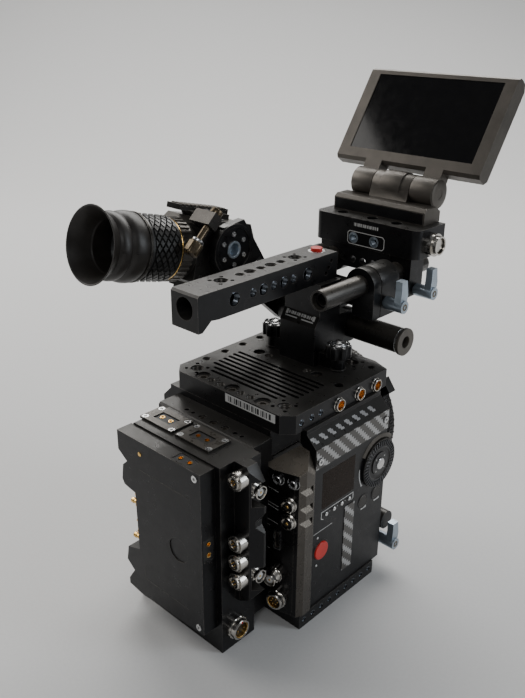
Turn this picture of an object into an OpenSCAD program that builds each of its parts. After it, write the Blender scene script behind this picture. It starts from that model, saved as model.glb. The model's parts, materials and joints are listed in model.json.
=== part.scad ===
// Cinema camera rig: body with side controls, accessory plate, rear power box with battery
// plate, top handle on a tower, rods with a tilting monitor, and a viewfinder on an arm.
// +X is the camera's right side, +Y is forward, +Z is up. Origin: tripod thread, underside.

/* [Base plate] */
// half width of the base plate
base_half_w = 67.8; // [60:0.1:75]
// half depth of the base plate
base_half_d = 43.3; // [38:0.1:50]
// height of the base plate
base_h = 11.3; // [8:0.1:14]
// pitch of the tapped side holes
side_pitch = 9.525; // [9:0.005:10]

/* [Body] */
// half width of the body housing
body_half_w = 66.8; // [60:0.1:75]
// front face of the body housing
body_front = 51.1; // [45:0.1:60]
// rear face of the body housing
body_rear = -46.8; // [-55:0.1:-40]
// top face of the body housing
body_top = 152.3; // [140:0.1:160]
// wall thickness of the body housing
body_wall = 3; // [2:0.1:5]
// chamfer along the upper side edges
body_chamfer = 8.3; // [4:0.1:12]

/* [Lens mount] */
// height of the lens axis
lens_z = 109; // [90:0.5:120]
// radius of the drum the locking collar turns on
drum_r = 47; // [40:0.1:50]
// outer radius of the locking collar
collar_r = 54.8; // [50:0.1:60]

/* [Side controls] */
// dial centre, forward position
dial_y = 41.1; // [38:0.1:44]
// dial centre, height
dial_z = 100.6; // [95:0.1:106]
// outer radius of the side dial
dial_r = 18.9; // [16:0.1:20]
// radius of the round record button
record_r = 7; // [5:0.1:9]

/* [Accessory plate] */
// half width of the accessory plate
plate_half_w = 56.3; // [50:0.1:62]
// rear edge of the accessory plate
plate_rear = -46.8; // [-52:0.1:-42]
// front edge of the accessory plate
plate_front = 65.9; // [60:0.1:72]
// thickness of the accessory plate
plate_t = 13.7; // [10:0.1:18]
// pitch of the cooling slots
slot_pitch = 5.24; // [4.5:0.01:6]
// width of a cooling slot
slot_w = 2.7; // [2:0.1:3.5]

/* [Power box] */
// left side of the power box
box_left = -41.5; // [-46:0.1:-38]
// right side of the power box
box_right = 44.8; // [40:0.1:48]
// rear face of the power box
box_rear = -96.3; // [-102:0.1:-90]
// front face of the power box
box_front = -65.5; // [-70:0.1:-60]
// height of the power box
box_top = 147.5; // [140:0.1:152]
// pitch of the stacked round sockets
socket_pitch = 14.9; // [13:0.1:17]

/* [Handle] */
// half width of the tower
tower_half_w = 16.6; // [14:0.1:20]
// half width of the handle
handle_half_w = 12.3; // [10:0.1:15]
// rear end of the handle
handle_rear = -81.5; // [-90:0.1:-70]
// front end of the handle
handle_front = 53; // [45:0.1:60]
// underside of the handle grip
handle_under = 227; // [222:0.1:232]
// top face of the handle
handle_top = 246.4; // [240:0.1:252]

/* [Rods] */
// radius of the light rods
rod_r = 7.5; // [7.5:0.1:7.5]
// sideways distance of each light rod from the middle
rod_x = 30; // [28:0.5:32]
// height of the light rods
rod_z = 223.8; // [218:0.1:230]
// radius of the cross tube
tube_r = 9.5; // [9:0.1:10]
// forward position of the cross tube
tube_y = 72; // [70:0.1:78]
// height of the cross tube
tube_z = 185.2; // [180:0.1:195]

/* [Monitor] */
// lean of the monitor away from the operator at rest, degrees
monitor_lean = 34; // [0:1:60]
// forward position of the monitor hinge
hinge_y = 141; // [136:0.1:146]
// height of the monitor hinge
hinge_z = 277.3; // [272:0.1:282]
// radius of the hinge barrels
barrel_r = 11.2; // [9:0.1:13]
// half width of the monitor
monitor_half_w = 65.6; // [60:0.1:70]
// overall height of the monitor frame
monitor_h = 81.6; // [75:0.1:90]
// thickness of the monitor frame
monitor_t = 14.2; // [10:0.1:18]

/* [Viewfinder] */
// sideways position of the viewfinder axis
finder_x = -80; // [-90:0.5:-70]
// upward tilt of the eyepiece, degrees
finder_tilt = 13.8; // [0:0.1:30]
// radius of the knurled focus ring
focus_r = 24; // [20:0.1:27]
// radius of the eyecup rim
cup_r = 26.6; // [22:0.1:30]

/* [Hidden] */
$fn = 64;
plate_top = body_top + plate_t;
box_wall = 2.6;
boss_r = 12.3;
pivot_r = 6.6;
finder_y = 18;
finder_z = 234.6;
tilt_dy = -8.5;
tilt_dz = 6.6;
tilt_y = finder_y + tilt_dy*cos(finder_tilt) + tilt_dz*sin(finder_tilt);
tilt_z = finder_z - tilt_dy*sin(finder_tilt) + tilt_dz*cos(finder_tilt);
ink = [0.09, 0.09, 0.1];
dark = [0.14, 0.14, 0.15];
steel = [0.72, 0.74, 0.77];
gold = [0.83, 0.62, 0.25];
red = [0.78, 0.1, 0.07];
bluegrey = [0.42, 0.5, 0.56];

// box given by its low and high corners
module span(a, b) {
    translate(a) cube([b[0] - a[0], b[1] - a[1], b[2] - a[2]]);
}
// cylinder along X from x0 to x1
module rod_along_x(x0, x1, y, z, r) {
    translate([x0, y, z]) rotate([0, 90, 0]) cylinder(h = x1 - x0, r = r);
}
// cylinder along Y from y0 to y1
module rod_along_y(x, y0, y1, z, r) {
    translate([x, y0, z]) rotate([-90, 0, 0]) cylinder(h = y1 - y0, r = r);
}
// cylinder along Z from z0 to z1
module rod_along_z(x, y, z0, z1, r) {
    translate([x, y, z0]) cylinder(h = z1 - z0, r = r);
}
// polygon of [y, z] points pushed along X from x0 to x1
module side_profile(x0, x1, pts) {
    translate([x0, 0, 0]) rotate([90, 0, 90]) linear_extrude(height = x1 - x0) polygon(pts);
}
// polygon of [x, z] points pushed along Y from y0 to y1
module back_profile(y0, y1, pts) {
    translate([0, y1, 0]) rotate([90, 0, 0]) linear_extrude(height = y1 - y0) polygon(pts);
}
// round panel socket pointing along +Z, with its mouth open
module round_socket(nut_r, nose_r, nut_h, nose_h) {
    difference() {
        union() {
            cylinder(h = nut_h, r = nut_r);
            cylinder(h = nose_h, r = nose_r);
        }
        translate([0, 0, nose_h - 4]) cylinder(h = 5, r = nose_r - 1.1);
    }
    translate([0, 0, nose_h - 4.2]) cylinder(h = 2.6, r = nose_r - 2.2);
}
// place on the slanted part of the port module's rear face, +Z pointing out of it
module on_slant(x, z) {
    translate([x, slant_y(x), z]) rotate([0, 0, atan(4.4/19)]) rotate([90, 0, 0]) children();
}
function slant_y(x) = -50 + (x - 47)*4.4/19;

module base_plate() color(ink) difference() {
    span([-base_half_w, -base_half_d, 0], [base_half_w, base_half_d, base_h]);
    for (i = [-4:4]) {
        rod_along_x(base_half_w - 8, base_half_w + 1, i*side_pitch, base_h/2, 2.4);
        rod_along_x(-base_half_w - 1, -base_half_w + 8, i*side_pitch, base_h/2, 2.4);
    }
    rod_along_z(0, 0, -1, 9, 4.7625);
    for (y = [-19.05, 19.05]) rod_along_z(0, y, -1, 9, 3.175);
}

module body_outline() {
    polygon([[-body_half_w, base_h], [body_half_w, base_h],
        [body_half_w, body_top - body_chamfer - 2.9], [body_half_w - body_chamfer, body_top - 2.9],
        [body_half_w - body_chamfer, body_top], [-body_half_w + body_chamfer, body_top],
        [-body_half_w + body_chamfer, body_top - 2.9],
        [-body_half_w, body_top - body_chamfer - 2.9]]);
}
module body_shell() color(dark) difference() {
    union() {
        translate([0, body_front, 0]) rotate([90, 0, 0])
            linear_extrude(height = body_front - body_rear) body_outline();
        rod_along_x(46, body_half_w, dial_y, dial_z, 20.5);
        rod_along_x(body_half_w - 1, 68.6, dial_y, dial_z, boss_r);
    }
    difference() {
        span([-body_half_w + body_wall, body_rear + body_wall, base_h + body_wall],
            [body_half_w - body_wall - 3, body_front - body_wall, body_top - 14.5]);
        span([35, body_rear, base_h], [body_half_w, -27.6, body_top - 14]);
    }
    span([38, body_rear - 1, base_h - 1], [body_half_w + 1, -30.6, 126]);
    translate([0, 0, 125]) linear_extrude(height = 30)
        polygon([[39, -50], [53, -30.6], [70, -30.6], [70, -50]]);
    translate([39, -50, 127.2]) rotate([0, 0, 54.2]) rotate([0, -28.5, 0]) rotate([45, 0, 0])
        translate([2, -2.4, -2.4]) cube([26, 4.8, 4.8]);
    span([-40, -31, body_top - 15], [38, 8.6, body_top + 1]);
    rod_along_y(0, body_front - 4, body_front + 1, lens_z, 33);
    difference() {
        rod_along_x(65.3, body_half_w + 1, dial_y, dial_z, dial_r + 0.3);
        rod_along_x(64, body_half_w + 2, dial_y, dial_z, boss_r);
    }
    rod_along_x(65.2, 70, dial_y, dial_z, 9.08);
    span([65.7, -22.3, 90.5], [body_half_w + 1, 13.5, 119.5]);
    for (i = [0:3]) rod_along_x(65.5, body_half_w + 1, -17.5 + 8.6*i, 85.4, 1.68);
    for (y = [26, 42.1]) rod_along_x(65, body_half_w + 1, y, 74.2, 4.58);
    rod_along_x(64.4, body_half_w + 1, -21.5, 56.9, record_r + 0.08);
    for (p = [[-26.5, 131], [46.6, 134]]) rod_along_x(64, body_half_w + 1, p[0], p[1], 1.5);
    for (x = [-38, 38]) for (z = [20, 42]) rod_along_y(x, body_front - 9, body_front + 1, z, 2);
}

module carbon_panels() color([0.2, 0.2, 0.21]) {
    difference() {
        span([body_half_w, -30.2, 125.6], [body_half_w + 0.5, 51, 140.8]);
        for (p = [[-26.5, 131], [46.6, 134]])
            rod_along_x(body_half_w - 1, body_half_w + 2, p[0], p[1], 2.7);
    }
    span([body_half_w, 4, 24], [body_half_w + 0.5, 15, 80]);
}

module side_window() color([0.03, 0.03, 0.035])
    span([65.7, -22.2, 90.6], [66.9, 13.4, 119.4]);

// one cap screw standing along +Z with its head top at z = 0
module cap_screw() difference() {
    union() {
        translate([0, 0, -1.6]) cylinder(h = 1.6, r = 2.4);
        translate([0, 0, -4.2]) cylinder(h = 2.7, r = 1.45);
    }
    translate([0, 0, -1]) cylinder(h = 2, r = 1.1, $fn = 6);
}
module cap_screws() color(steel) {
    for (p = [[-26.5, 131], [46.6, 134]])
        translate([body_half_w + 1.6, p[0], p[1]]) rotate([0, 90, 0]) cap_screw();
    for (c = [-24.6, 11.4]) for (s = [[-1, -1], [1, -1], [-1, 1], [1, 1]])
        translate([c + s[0]*13.6, -79.5 + s[1]*7.2, box_top + 1.6]) cap_screw();
    for (p = [[35.4, 141.5], [35.4, 25]])
        translate([p[0], -109.2, p[1]]) rotate([90, 0, 0]) cap_screw();
}

module lens_mount() color(dark) difference() {
    union() {
        rod_along_y(0, body_front - 4, body_front + 1, lens_z, 33);
        rod_along_y(0, body_front, body_front + 6, lens_z, 42);
        rod_along_y(0, body_front + 5, 67, lens_z, 40);
        rod_along_y(0, 66.4, 80, lens_z, drum_r);
        rod_along_y(0, 79, 92, lens_z, 36);
    }
    rod_along_y(0, 72.5, 93, lens_z, 27.05);
    rod_along_y(0, body_front - 5, 93, lens_z, 24);
}

module sensor_module() color([0.12, 0.14, 0.2]) {
    span([-34, 33, lens_z - 27], [34, 38, lens_z + 25]);
    span([-22, 38, lens_z - 14], [22, 40, lens_z + 14]);
    for (s = [[-30, -23], [30, -23], [-30, 21], [30, 21]])
        rod_along_y(s[0], 38, body_front - body_wall, lens_z + s[1], 2.5);
}

module circuit_boards() color([0.07, 0.2, 0.1]) {
    span([-45, 24, base_h + body_wall], [45, 25.6, 112]);
    span([-30, 25.6, 60], [-6, 28, 78]);
    span([6, 25.6, 40], [26, 28, 58]);
    span([-34, -78, box_wall], [36, -76.4, 128]);
    span([-20, -84, 30], [4, -78, 52]);
}

module cooler() color([0.62, 0.63, 0.65]) {
    difference() {
        span([-34, -30, 74], [34, 8, 80]);
        rod_along_z(0, -11, 73, 81, 15.9);
    }
    for (i = [-7:7]) span([i*4.6 - 0.6, -30, 80], [i*4.6 + 0.6, 8, 128]);
    span([-34, -43.8, 60], [34, -41, 76]);
    span([-34, -43.8, 74], [34, -28, 80]);
    difference() {
        rod_along_z(0, -11, 55, 74.5, 19);
        rod_along_z(0, -11, 58, 75, 17);
        for (a = [0:60:300]) rotate_fan_vent(a);
    }
    rod_along_z(0, -11, 55, 60.4, 4);
    rod_along_z(0, -11, 60, 68, 1.5);
}
// one sector vent through the fan floor
module rotate_fan_vent(a) {
    translate([0, -11, 54]) rotate([0, 0, a]) translate([10.5, 0, 0]) cylinder(h = 5, r = 4);
}

module fan_rotor() color([0.1, 0.1, 0.1]) {
    difference() {
        rod_along_z(0, -11, 61, 70, 7);
        rod_along_z(0, -11, 60, 69, 1.56);
    }
    for (a = [0:45:315]) translate([0, -11, 61.5]) rotate([0, 0, a])
        translate([6, -0.5, 0]) rotate([28, 0, 0]) cube([9.5, 1, 8]);
}

module plate_outline() {
    polygon([[-plate_half_w, plate_rear + 7.7], [-plate_half_w + 7.7, plate_rear],
        [plate_half_w - 7.7, plate_rear], [plate_half_w, plate_rear + 7.7],
        [plate_half_w, plate_front - 5.7], [plate_half_w - 14.5, plate_front],
        [-plate_half_w + 14.5, plate_front], [-plate_half_w, plate_front - 5.7]]);
}
// stadium slot along X through the plate
module cooling_slot(y, x0, x1) {
    span([x0 + slot_w/2, y - slot_w/2, body_top - 1], [x1 - slot_w/2, y + slot_w/2, plate_top + 1]);
    for (x = [x0 + slot_w/2, x1 - slot_w/2]) rod_along_z(x, y, body_top - 1, plate_top + 1, slot_w/2);
}
// 3/8 inch threaded corner hole with its four anti-twist pockets
module anti_twist_hole(x, y) {
    rod_along_z(x, y, plate_top - 10, plate_top + 1, 4.7625);
    for (a = [45:90:315]) translate([x, y, plate_top - 2.4]) rotate([0, 0, a])
        translate([7.6, 0, 0]) cylinder(h = 4, r = 1.5);
}
module accessory_plate() color(ink) difference() {
    translate([0, 0, body_top]) linear_extrude(height = plate_t) plate_outline();
    for (i = [0:5]) cooling_slot(7 - slot_pitch*i, -42.6 + 0.2*i, 41.2);
    cooling_slot(7 - slot_pitch*6, -36, 34);
    cooling_slot(7 - slot_pitch*7, -33.4, 31.4);
    for (p = [[-43, -34.3], [41.5, -34.3], [31.2, 51.9], [-31.2, 51.9]]) anti_twist_hole(p[0], p[1]);
    for (x = [-31, -2, 27]) {
        rod_along_z(x, -39.4, plate_top - 9, plate_top + 1, 4.1);
        rod_along_z(x, -39.4, plate_top - 1.6, plate_top + 1, 5.6);
    }
    for (x = [-21.4, -11.8, 7.6, 17]) rod_along_z(x, -41, plate_top - 8, plate_top + 1, 3.175);
    for (i = [0:3]) rod_along_z(-50, -18.4 + 19.1*i, plate_top - 8, plate_top + 1, 3.175);
    for (x = [-30.9, 25.4]) rod_along_z(x, 18.2, plate_top - 8, plate_top + 1, 4.4);
    for (x = [-21, 16.6]) rod_along_z(x, 17.6, plate_top - 8, plate_top + 1, 3.175);
    rod_along_z(48, 15, plate_top - 6, plate_top + 1, 3.4);
    rod_along_z(46.5, 54.6, plate_top - 6, plate_top + 1, 2.6);
    for (s = [-1, 1]) rod_along_z(31*s, 35, plate_top - 10, plate_top + 1, 3.06);
    for (y = [-33.6, -23.3, -13.9]) rod_along_x(plate_half_w - 8, plate_half_w + 1, y, 158.5, 2.6);
    for (y = [4.7, 27.6, 47]) rod_along_x(plate_half_w - 5, plate_half_w + 1, y, 158, 5.2);
}

module round_sockets() color(steel) {
    for (y = [4.7, 27.6, 47]) translate([plate_half_w - 5, y, 158]) rotate([0, 90, 0])
        round_socket(5.2, 4.4, 5.6, 7.6);
    translate([51.4, -84, 137.9]) rotate([90, 0, 0]) round_socket(6.4, 4.8, 6.4, 8);
    for (i = [0:2]) translate([51.2, -84, 91 - socket_pitch*i]) rotate([90, 0, 0])
        round_socket(6.2, 4.8, 6.4, 8);
    for (z = [104.4, 91]) on_slant(59.4, z) round_socket(5.8, 4.9, 1.6, 4.6);
}

module bnc_sockets() color(steel) {
    on_slant(50, 44) round_socket(6.2, 4.85, 3, 10);
    for (z = [128, 63]) translate([50, -76.2, z]) rotate([0, 90, 0])
        round_socket(6.4, 4.85, 5.5, 11.5);
}

module power_sockets() color(steel) {
    on_slant(52.4, 24.1) round_socket(7.6, 6.2, 3.4, 7.2);
    translate([box_right, -84.6, 17.2]) rotate([0, 90, 0]) round_socket(8.6, 7.6, 4, 7.6);
}

module signal_ports() color([0.6, 0.6, 0.62]) {
    for (x = [50.8, 62]) on_slant(x, 121) difference() {
        cylinder(h = 2, r = 3.1);
        translate([0, 0, -1]) cylinder(h = 4, r = 1.75);
    }
    on_slant(50.8, 72.6) difference() {
        translate([-2.8, -7.8, 0]) cube([5.6, 15.6, 1]);
        translate([-1.8, -6.6, -1]) cube([3.6, 13.2, 3]);
    }
}

module expander_housing() color(dark) difference() {
    side_profile(-50, 42.6, [[body_rear, base_h], [body_rear, box_top],
        [box_front + 1.5, box_top], [box_front, box_top - 1.5], [box_front, base_h]]);
    span([-47, box_front + 3, base_h + 3], [36.4, body_rear - 3, box_top - 4]);
    span([38, -50, base_h - 1], [46, body_rear + 1, 130.8]);
    for (x = [-11, 0, 11]) rod_along_z(x, -59, box_top - 3.6, box_top + 1, 2.9);
    for (x = [-27, -20.5, 20.5, 27]) rod_along_z(x, -59, box_top - 3.6, box_top + 1, 1.6);
}

module module_plan() {
    polygon([[38, -30.6], [38, -50], [47, -50], [66, -45.6], [68.5, -41], [68.5, -33],
        [66.8, -30.6]]);
}
// the top facet slopes up towards the front and down to the right
module port_module() color([0.22, 0.21, 0.2]) difference() {
    union() {
        translate([0, 0, base_h]) linear_extrude(height = 126 - base_h) module_plan();
        intersection() {
            translate([0, 0, 120]) linear_extrude(height = 21) module_plan();
            translate([0, 0, 119]) linear_extrude(height = 23)
                polygon([[39, -50], [53, -30.6], [70, -30.6], [70, -50]]);
        }
    }
    translate([41.6, -50, 127.5]) rotate([34.66, 7.35, 0]) translate([-40, -40, 0])
        cube([90, 90, 40]);
    translate([61.3, -30.6, 138.5]) rotate([-18.97, 66.46, 0]) translate([-40, -40, 0])
        cube([80, 80, 30]);
    for (z = [109.4, 95.8, 84.4]) side_recess(z);
    span([40.5, -46.2, base_h + 4], [63, -33, 117]);
    on_slant(50, 44) translate([0, 0, -6]) cylinder(h = 7, r = 4);
    on_slant(52.4, 24.1) translate([0, 0, -6]) cylinder(h = 7, r = 5);
    on_slant(50.8, 72.6) translate([-1.6, -6.4, -6]) cube([3.2, 12.8, 7]);
    for (x = [50.8, 62]) on_slant(x, 121) translate([0, 0, -3]) cylinder(h = 4, r = 1.7);
}
// slanted finger relief in the outer corner of the port module
module side_recess(z) {
    back_profile(-51, -34, [[70, z - 1], [70, z + 9], [66.4, z + 6]]);
}

module power_box() color(dark) difference() {
    union() {
        back_profile(box_rear, box_front, [[box_left, 0], [box_right, 0], [box_right, box_top],
            [box_left + 3, box_top], [box_left, box_top - 3]]);
        intersection() {
            translate([0, 0, 40]) linear_extrude(height = box_top - 40)
                polygon([[44, box_front], [44, -84], [58, -84], [64, -76.5], [64, -75], [50, -75],
                        [50, box_front]]);
            back_profile(-85, box_front + 1, [[43, 39], [50, 41], [58, 46], [64, 54], [64, 99],
                [60.5, 103.5], [60.5, 108], [64, 114], [64, 136], [56, box_top], [43, box_top]]);
        }
    }
    for (z = [128, 63]) span([50, -82.8, z - 9], [65, -69.6, z + 9]);
    span([box_left + box_wall, box_rear + box_wall, box_wall],
        [box_right - box_wall, box_front - box_wall, box_top - 6.6]);
    for (c = [-24.6, 11.4]) span([c - 8.4, -83.9, box_top - 3.8], [c + 8.4, -75.1, box_top + 1]);
    for (c = [-24.6, 11.4]) for (s = [[-1, -1], [1, -1], [-1, 1], [1, 1]])
        rod_along_z(c + s[0]*13.6, -79.5 + s[1]*7.2, box_top - 2.8, box_top + 1, 1.5);
    span([49.2, -85, 42.5], [52.2, -82.5, 52.5]);
    rod_along_z(0, -81, -1, 3, 3.175);
    span([box_left - 1, -92.6, 116], [box_left + 0.6, -83.4, 142]);
}

module tap_plates() color([0.24, 0.24, 0.25]) for (c = [-24.6, 11.4]) difference() {
    span([c - 16.2, -89.4, box_top], [c + 16.2, -69.6, box_top + 1.8]);
    span([c - 8.6, -84.1, box_top - 1], [c + 8.6, -74.9, box_top + 3]);
    for (s = [[-1, -1], [1, -1], [-1, 1], [1, 1]])
        rod_along_z(c + s[0]*13.6, -79.5 + s[1]*7.2, box_top - 1, box_top + 4, 2.5);
}

// D-shaped power-tap insert lying in XY with its face up at z = 0
module tap_insert() difference() {
    translate([-8.3, -4.3, -4.8]) cube([16.6, 8.6, 4.8]);
    for (s = [-1, 1]) translate([4.2*s, 0, -3]) cylinder(h = 4, r = 1.9);
}
module tap_inserts() color([0.3, 0.3, 0.32]) {
    for (c = [-24.6, 11.4]) translate([c, -79.5, box_top + 1]) tap_insert();
    translate([20.4, -102.6, 145.6]) tap_insert();
    translate([39.9, -102.6, 88]) rotate([0, 90, 0]) tap_insert();
}

module battery_plate() color(ink) difference() {
    union() {
        back_profile(-108.6, box_rear, [[-41.6, 146], [40.3, 146], [40.3, 21], [-25, 17],
            [-39.2, 19.1], [-39.3, 24], [-32.6, 34.2], [-40.3, 40.2], [-38, 52.5], [-25, 56.7],
            [-25.8, 103], [-37, 105.1], [-39.3, 108.8], [-37.5, 120.6], [-32.8, 125],
            [-41.6, 131.2]]);
    }
    span([12, -107, 140.8], [28.8, -98.2, 147]);
    span([35.1, -107, 79.6], [41, -98.2, 96.4]);
    for (z = [96, 87, 74.4, 65.4]) rod_along_x(-27, -18, -102.4, z, 1.3);
    for (p = [[35.4, 141.5], [35.4, 25]]) rod_along_y(p[0], -110, -105, p[1], 1.5);
    for (p = [[35.4, 141.5], [35.4, 25]]) rod_along_y(p[0], -110, -107.6, p[1], 2.45);
    rod_along_y(17.4, -110, -107.9, 78.6, 9);
}

module contact_blades() color(gold) for (z = [96, 87, 74.4, 65.4])
    rod_along_x(-33, -18, -102.4, z, 1.3);

module battery_catch() color([0.3, 0.3, 0.3]) difference() {
    span([-45, -92, 122.6], [box_left + 0.4, -84, 141.4]);
    for (i = [0:4]) span([-46, -93, 125 + 3*i], [-44.4, -83, 126.2 + 3*i]);
}

module tower() color(ink) difference() {
    union() {
        side_profile(-tower_half_w, tower_half_w, [[25, plate_top], [46.7, plate_top],
            [46.7, 193], [53, 199.5], [53, handle_under], [30, handle_under], [30, 203.5],
            [25, 195.5]]);
        side_profile(-15.6, 15.6, [[46.7, plate_top], [61, plate_top], [61, 188],
            [66, 193.2], [66, 199], [53, 199], [46.7, 192.8]]);
        rod_along_x(-14, 14, tube_y, tube_z, 13);
        side_profile(-14, 14, [[60, 172], [64, plate_top], [65.9, plate_top], [72, 178], [72, 190]]);
        for (s = [-1, 1]) {
            rod_along_z(31*s, 35, plate_top, 176, 5);
            span([min(31*s, 15*s), 31.2, plate_top], [max(31*s, 15*s), 38.8, 176]);
        }
    }
    rod_along_x(-20, 20, tube_y, tube_z, tube_r);
    for (s = [-1, 1]) rod_along_z(31*s, 35, plate_top - 1, 180, 3.06);
    for (y = [33, 46]) rod_along_z(0, y, handle_under - 9, handle_under + 1, 2.5);
}

module top_handle() color(ink) difference() {
    side_profile(-handle_half_w, handle_half_w, [[handle_rear, 221.8], [-78, 221.8],
        [-70.5, handle_under + 0.8], [-64, handle_under], [handle_front, handle_under],
        [handle_front, handle_top - 1], [handle_front - 1, handle_top],
        [handle_rear + 1.4, handle_top], [handle_rear, handle_top - 1.4]]);
    rod_along_y(0, handle_rear - 1, handle_rear + 30, 235.6, 7.55);
    for (y = [-50.3, 20.5]) {
        rod_along_z(0, y, handle_top - 8, handle_top + 1, 4.7625);
        for (a = [45:90:315]) translate([0, y, handle_top - 2]) rotate([0, 0, a])
            translate([7.2, 0, 0]) cylinder(h = 4, r = 1.4);
    }
    for (y = [-23.8, -3.9]) rod_along_z(0, y, handle_top - 8, handle_top + 1, 4.1);
    for (y = [-33.4, -13.7, 6]) rod_along_z(0, y, handle_top - 8, handle_top + 1, 3.175);
    for (y = [-50.3, 20.5]) rod_along_x(handle_half_w - 5, handle_half_w + 1, y, 236.8, 4.7625);
    for (y = [-23.8, -3.9]) rod_along_x(handle_half_w - 5, handle_half_w + 1, y, 236.8, 4.1);
    for (y = [-33.4, -13.7, 6]) rod_along_x(handle_half_w - 5, handle_half_w + 1, y, 236.8, 3.175);
    rod_along_z(0, 44.1, handle_top - 4, handle_top + 1, 4.28);
    rod_along_z(0, 44.1, handle_top - 0.8, handle_top + 1, 6.4);
    for (p = [[40.5, 232.6], [43.4, 236.5], [46, 241]])
        rod_along_x(handle_half_w - 4, handle_half_w + 1, p[0], p[1], 1.6);
}

module handle_button() color(red) {
    rod_along_z(0, 44.1, handle_top - 2.6, handle_top + 2.2, 4.2);
}

// star-headed thumb screw standing on its tower lug
module thumb_screw(x) {
    rod_along_z(x, 35, plate_top - 8.6, 177, 3);
    difference() {
        rod_along_z(x, 35, 176.3, 185.2, 9.3);
        for (a = [0:51.4:350]) translate([x, 35, 175]) rotate([0, 0, a])
            translate([10.4, 0, 0]) cylinder(h = 12, r = 2.7);
        rod_along_z(x, 35, 184.6, 186, 5.6);
    }
    rod_along_z(x, 35, 184, 186.6, 4.4);
}
module thumb_screw_right() color(dark) thumb_screw(31);
module thumb_screw_left() color(dark) thumb_screw(-31);

module cross_tube() color(ink) difference() {
    rod_along_x(-66, 60.2, tube_y, tube_z, tube_r);
    rod_along_x(-67, 61.2, tube_y, tube_z, 7.2);
}
module tube_cap() color([0.25, 0.24, 0.23]) difference() {
    union() {
        rod_along_x(60.2, 62.8, tube_y, tube_z, 10.3);
        rod_along_x(53, 61, tube_y, tube_z, 7.2);
    }
    rod_along_x(52, 64, tube_y, tube_z, 4.4);
}

module rod_bridge() color(ink) difference() {
    union() {
        for (s = [-1, 1]) {
            rod_along_y(rod_x*s, 57.5, 88, rod_z, 12.6);
            span([min(24*s, 42.6*s), 57.5, 199.8], [max(24*s, 42.6*s), 88, rod_z]);
        }
        span([-30, 66.5, 203], [30, 88, 215]);
        span([-14, 53, 203], [14, 68, 215]);
    }
    for (s = [-1, 1]) {
        rod_along_y(rod_x*s, 56, 89, rod_z, rod_r);
        difference() {
            span([min(10*s, 50*s), 66.1, 190], [max(10*s, 50*s), 66.9, 240]);
            rod_along_y(rod_x*s, 65, 68, rod_z, 11.4);
            span([min(5*s, 41.4*s), 65, 190], [max(5*s, 41.4*s), 68, rod_z]);
        }
    }
    rod_along_x(35.4, 44, 71.5, 211, 3.08);
    rod_along_x(-62, -20, tube_y, tube_z, 16);
}

module support_rods() color(ink) for (s = [-1, 1]) difference() {
    rod_along_y(rod_x*s, 11.7, 136, rod_z, rod_r);
    rod_along_y(rod_x*s, 10, 137, rod_z, 6);
}

module base_rod_bracket() color(ink) difference() {
    union() {
        span([-46, body_front, 14], [46, 72, 46]);
        rod_along_x(45, 64, 64, 36.5, 7.5);
    }
    for (s = [-1, 1]) rod_along_y(30*s, 50, 73, 27, 7.55);
    for (s = [-1, 1]) span([min(30*s, 47*s), 50, 26.2], [max(30*s, 47*s), 73, 27.8]);
    for (x = [-38, 38]) for (z = [20, 42]) rod_along_y(x, 50, 73, z, 2);
    rod_along_x(40.4, 47, 63, 19.5, 3.08);
}

// clamp lever: threaded stub and boss along +X from the origin, with a rising arm
module clamp_lever(stub) {
    translate([-stub, 0, 0]) rotate([0, 90, 0]) cylinder(h = stub + 2.4, r = 3);
    translate([0.4, 0, 0]) rotate([0, 90, 0]) cylinder(h = 16, r = 4.7);
    translate([9.6, -4.2, 0]) side_arm();
}
// flat swept arm of a clamp lever
module side_arm() {
    rotate([90, 0, 90]) linear_extrude(height = 5.4)
        polygon([[0.2, 0], [8.2, 0], [9.4, 8], [8.4, 14], [7.4, 19], [1, 19], [1.4, 12]]);
}
module rear_lever() color(bluegrey) translate([43.4, 71.5, 211]) clamp_lever(7.6);
module front_lever() color(bluegrey) translate([43.4, 110, 211.5]) clamp_lever(7.6);
module base_lever() color(bluegrey) translate([58.6, 63, 19.5]) clamp_lever(17.6);

module dial_ring() color([0.12, 0.12, 0.13]) difference() {
    rod_along_x(65.6, 68.9, dial_y, dial_z, dial_r);
    rod_along_x(65, 70, dial_y, dial_z, boss_r + 0.06);
    for (a = [0:15:345]) translate([68.1, dial_y, dial_z]) rotate([a, 0, 0])
        translate([0, 0, dial_r - 1.2]) rotate([0, 90, 0]) cylinder(h = 2, r = 0.8);
}
module dial_button() color([0.2, 0.2, 0.21]) rod_along_x(66.4, 69.3, dial_y, dial_z, 9);
module soft_key(i) rod_along_x(66.1, 67.6, -17.5 + 8.6*i, 85.4, 1.6);
module soft_key_1() color(steel) soft_key(0);
module soft_key_2() color(steel) soft_key(1);
module soft_key_3() color(steel) soft_key(2);
module soft_key_4() color(steel) soft_key(3);
module user_button_a() color([0.2, 0.2, 0.2]) rod_along_x(65.8, 67.3, 26, 74.2, 4.5);
module user_button_b() color([0.2, 0.2, 0.2]) rod_along_x(65.8, 67.3, 42.1, 74.2, 4.5);
module record_button() color(red) rod_along_x(65.6, 68.2, -21.5, 56.9, record_r);

module mount_collar() color(ink) difference() {
    union() {
        rod_along_y(0, 71, 79, lens_z, collar_r);
        for (a = [-36.5, 143.5]) translate([0, 71, lens_z]) rotate([0, a, 0])
            translate([collar_r - 2, 0, -6]) cube([9, 8, 12]);
    }
    rod_along_y(0, 70, 80, lens_z, drum_r + 0.05);
}

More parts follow.
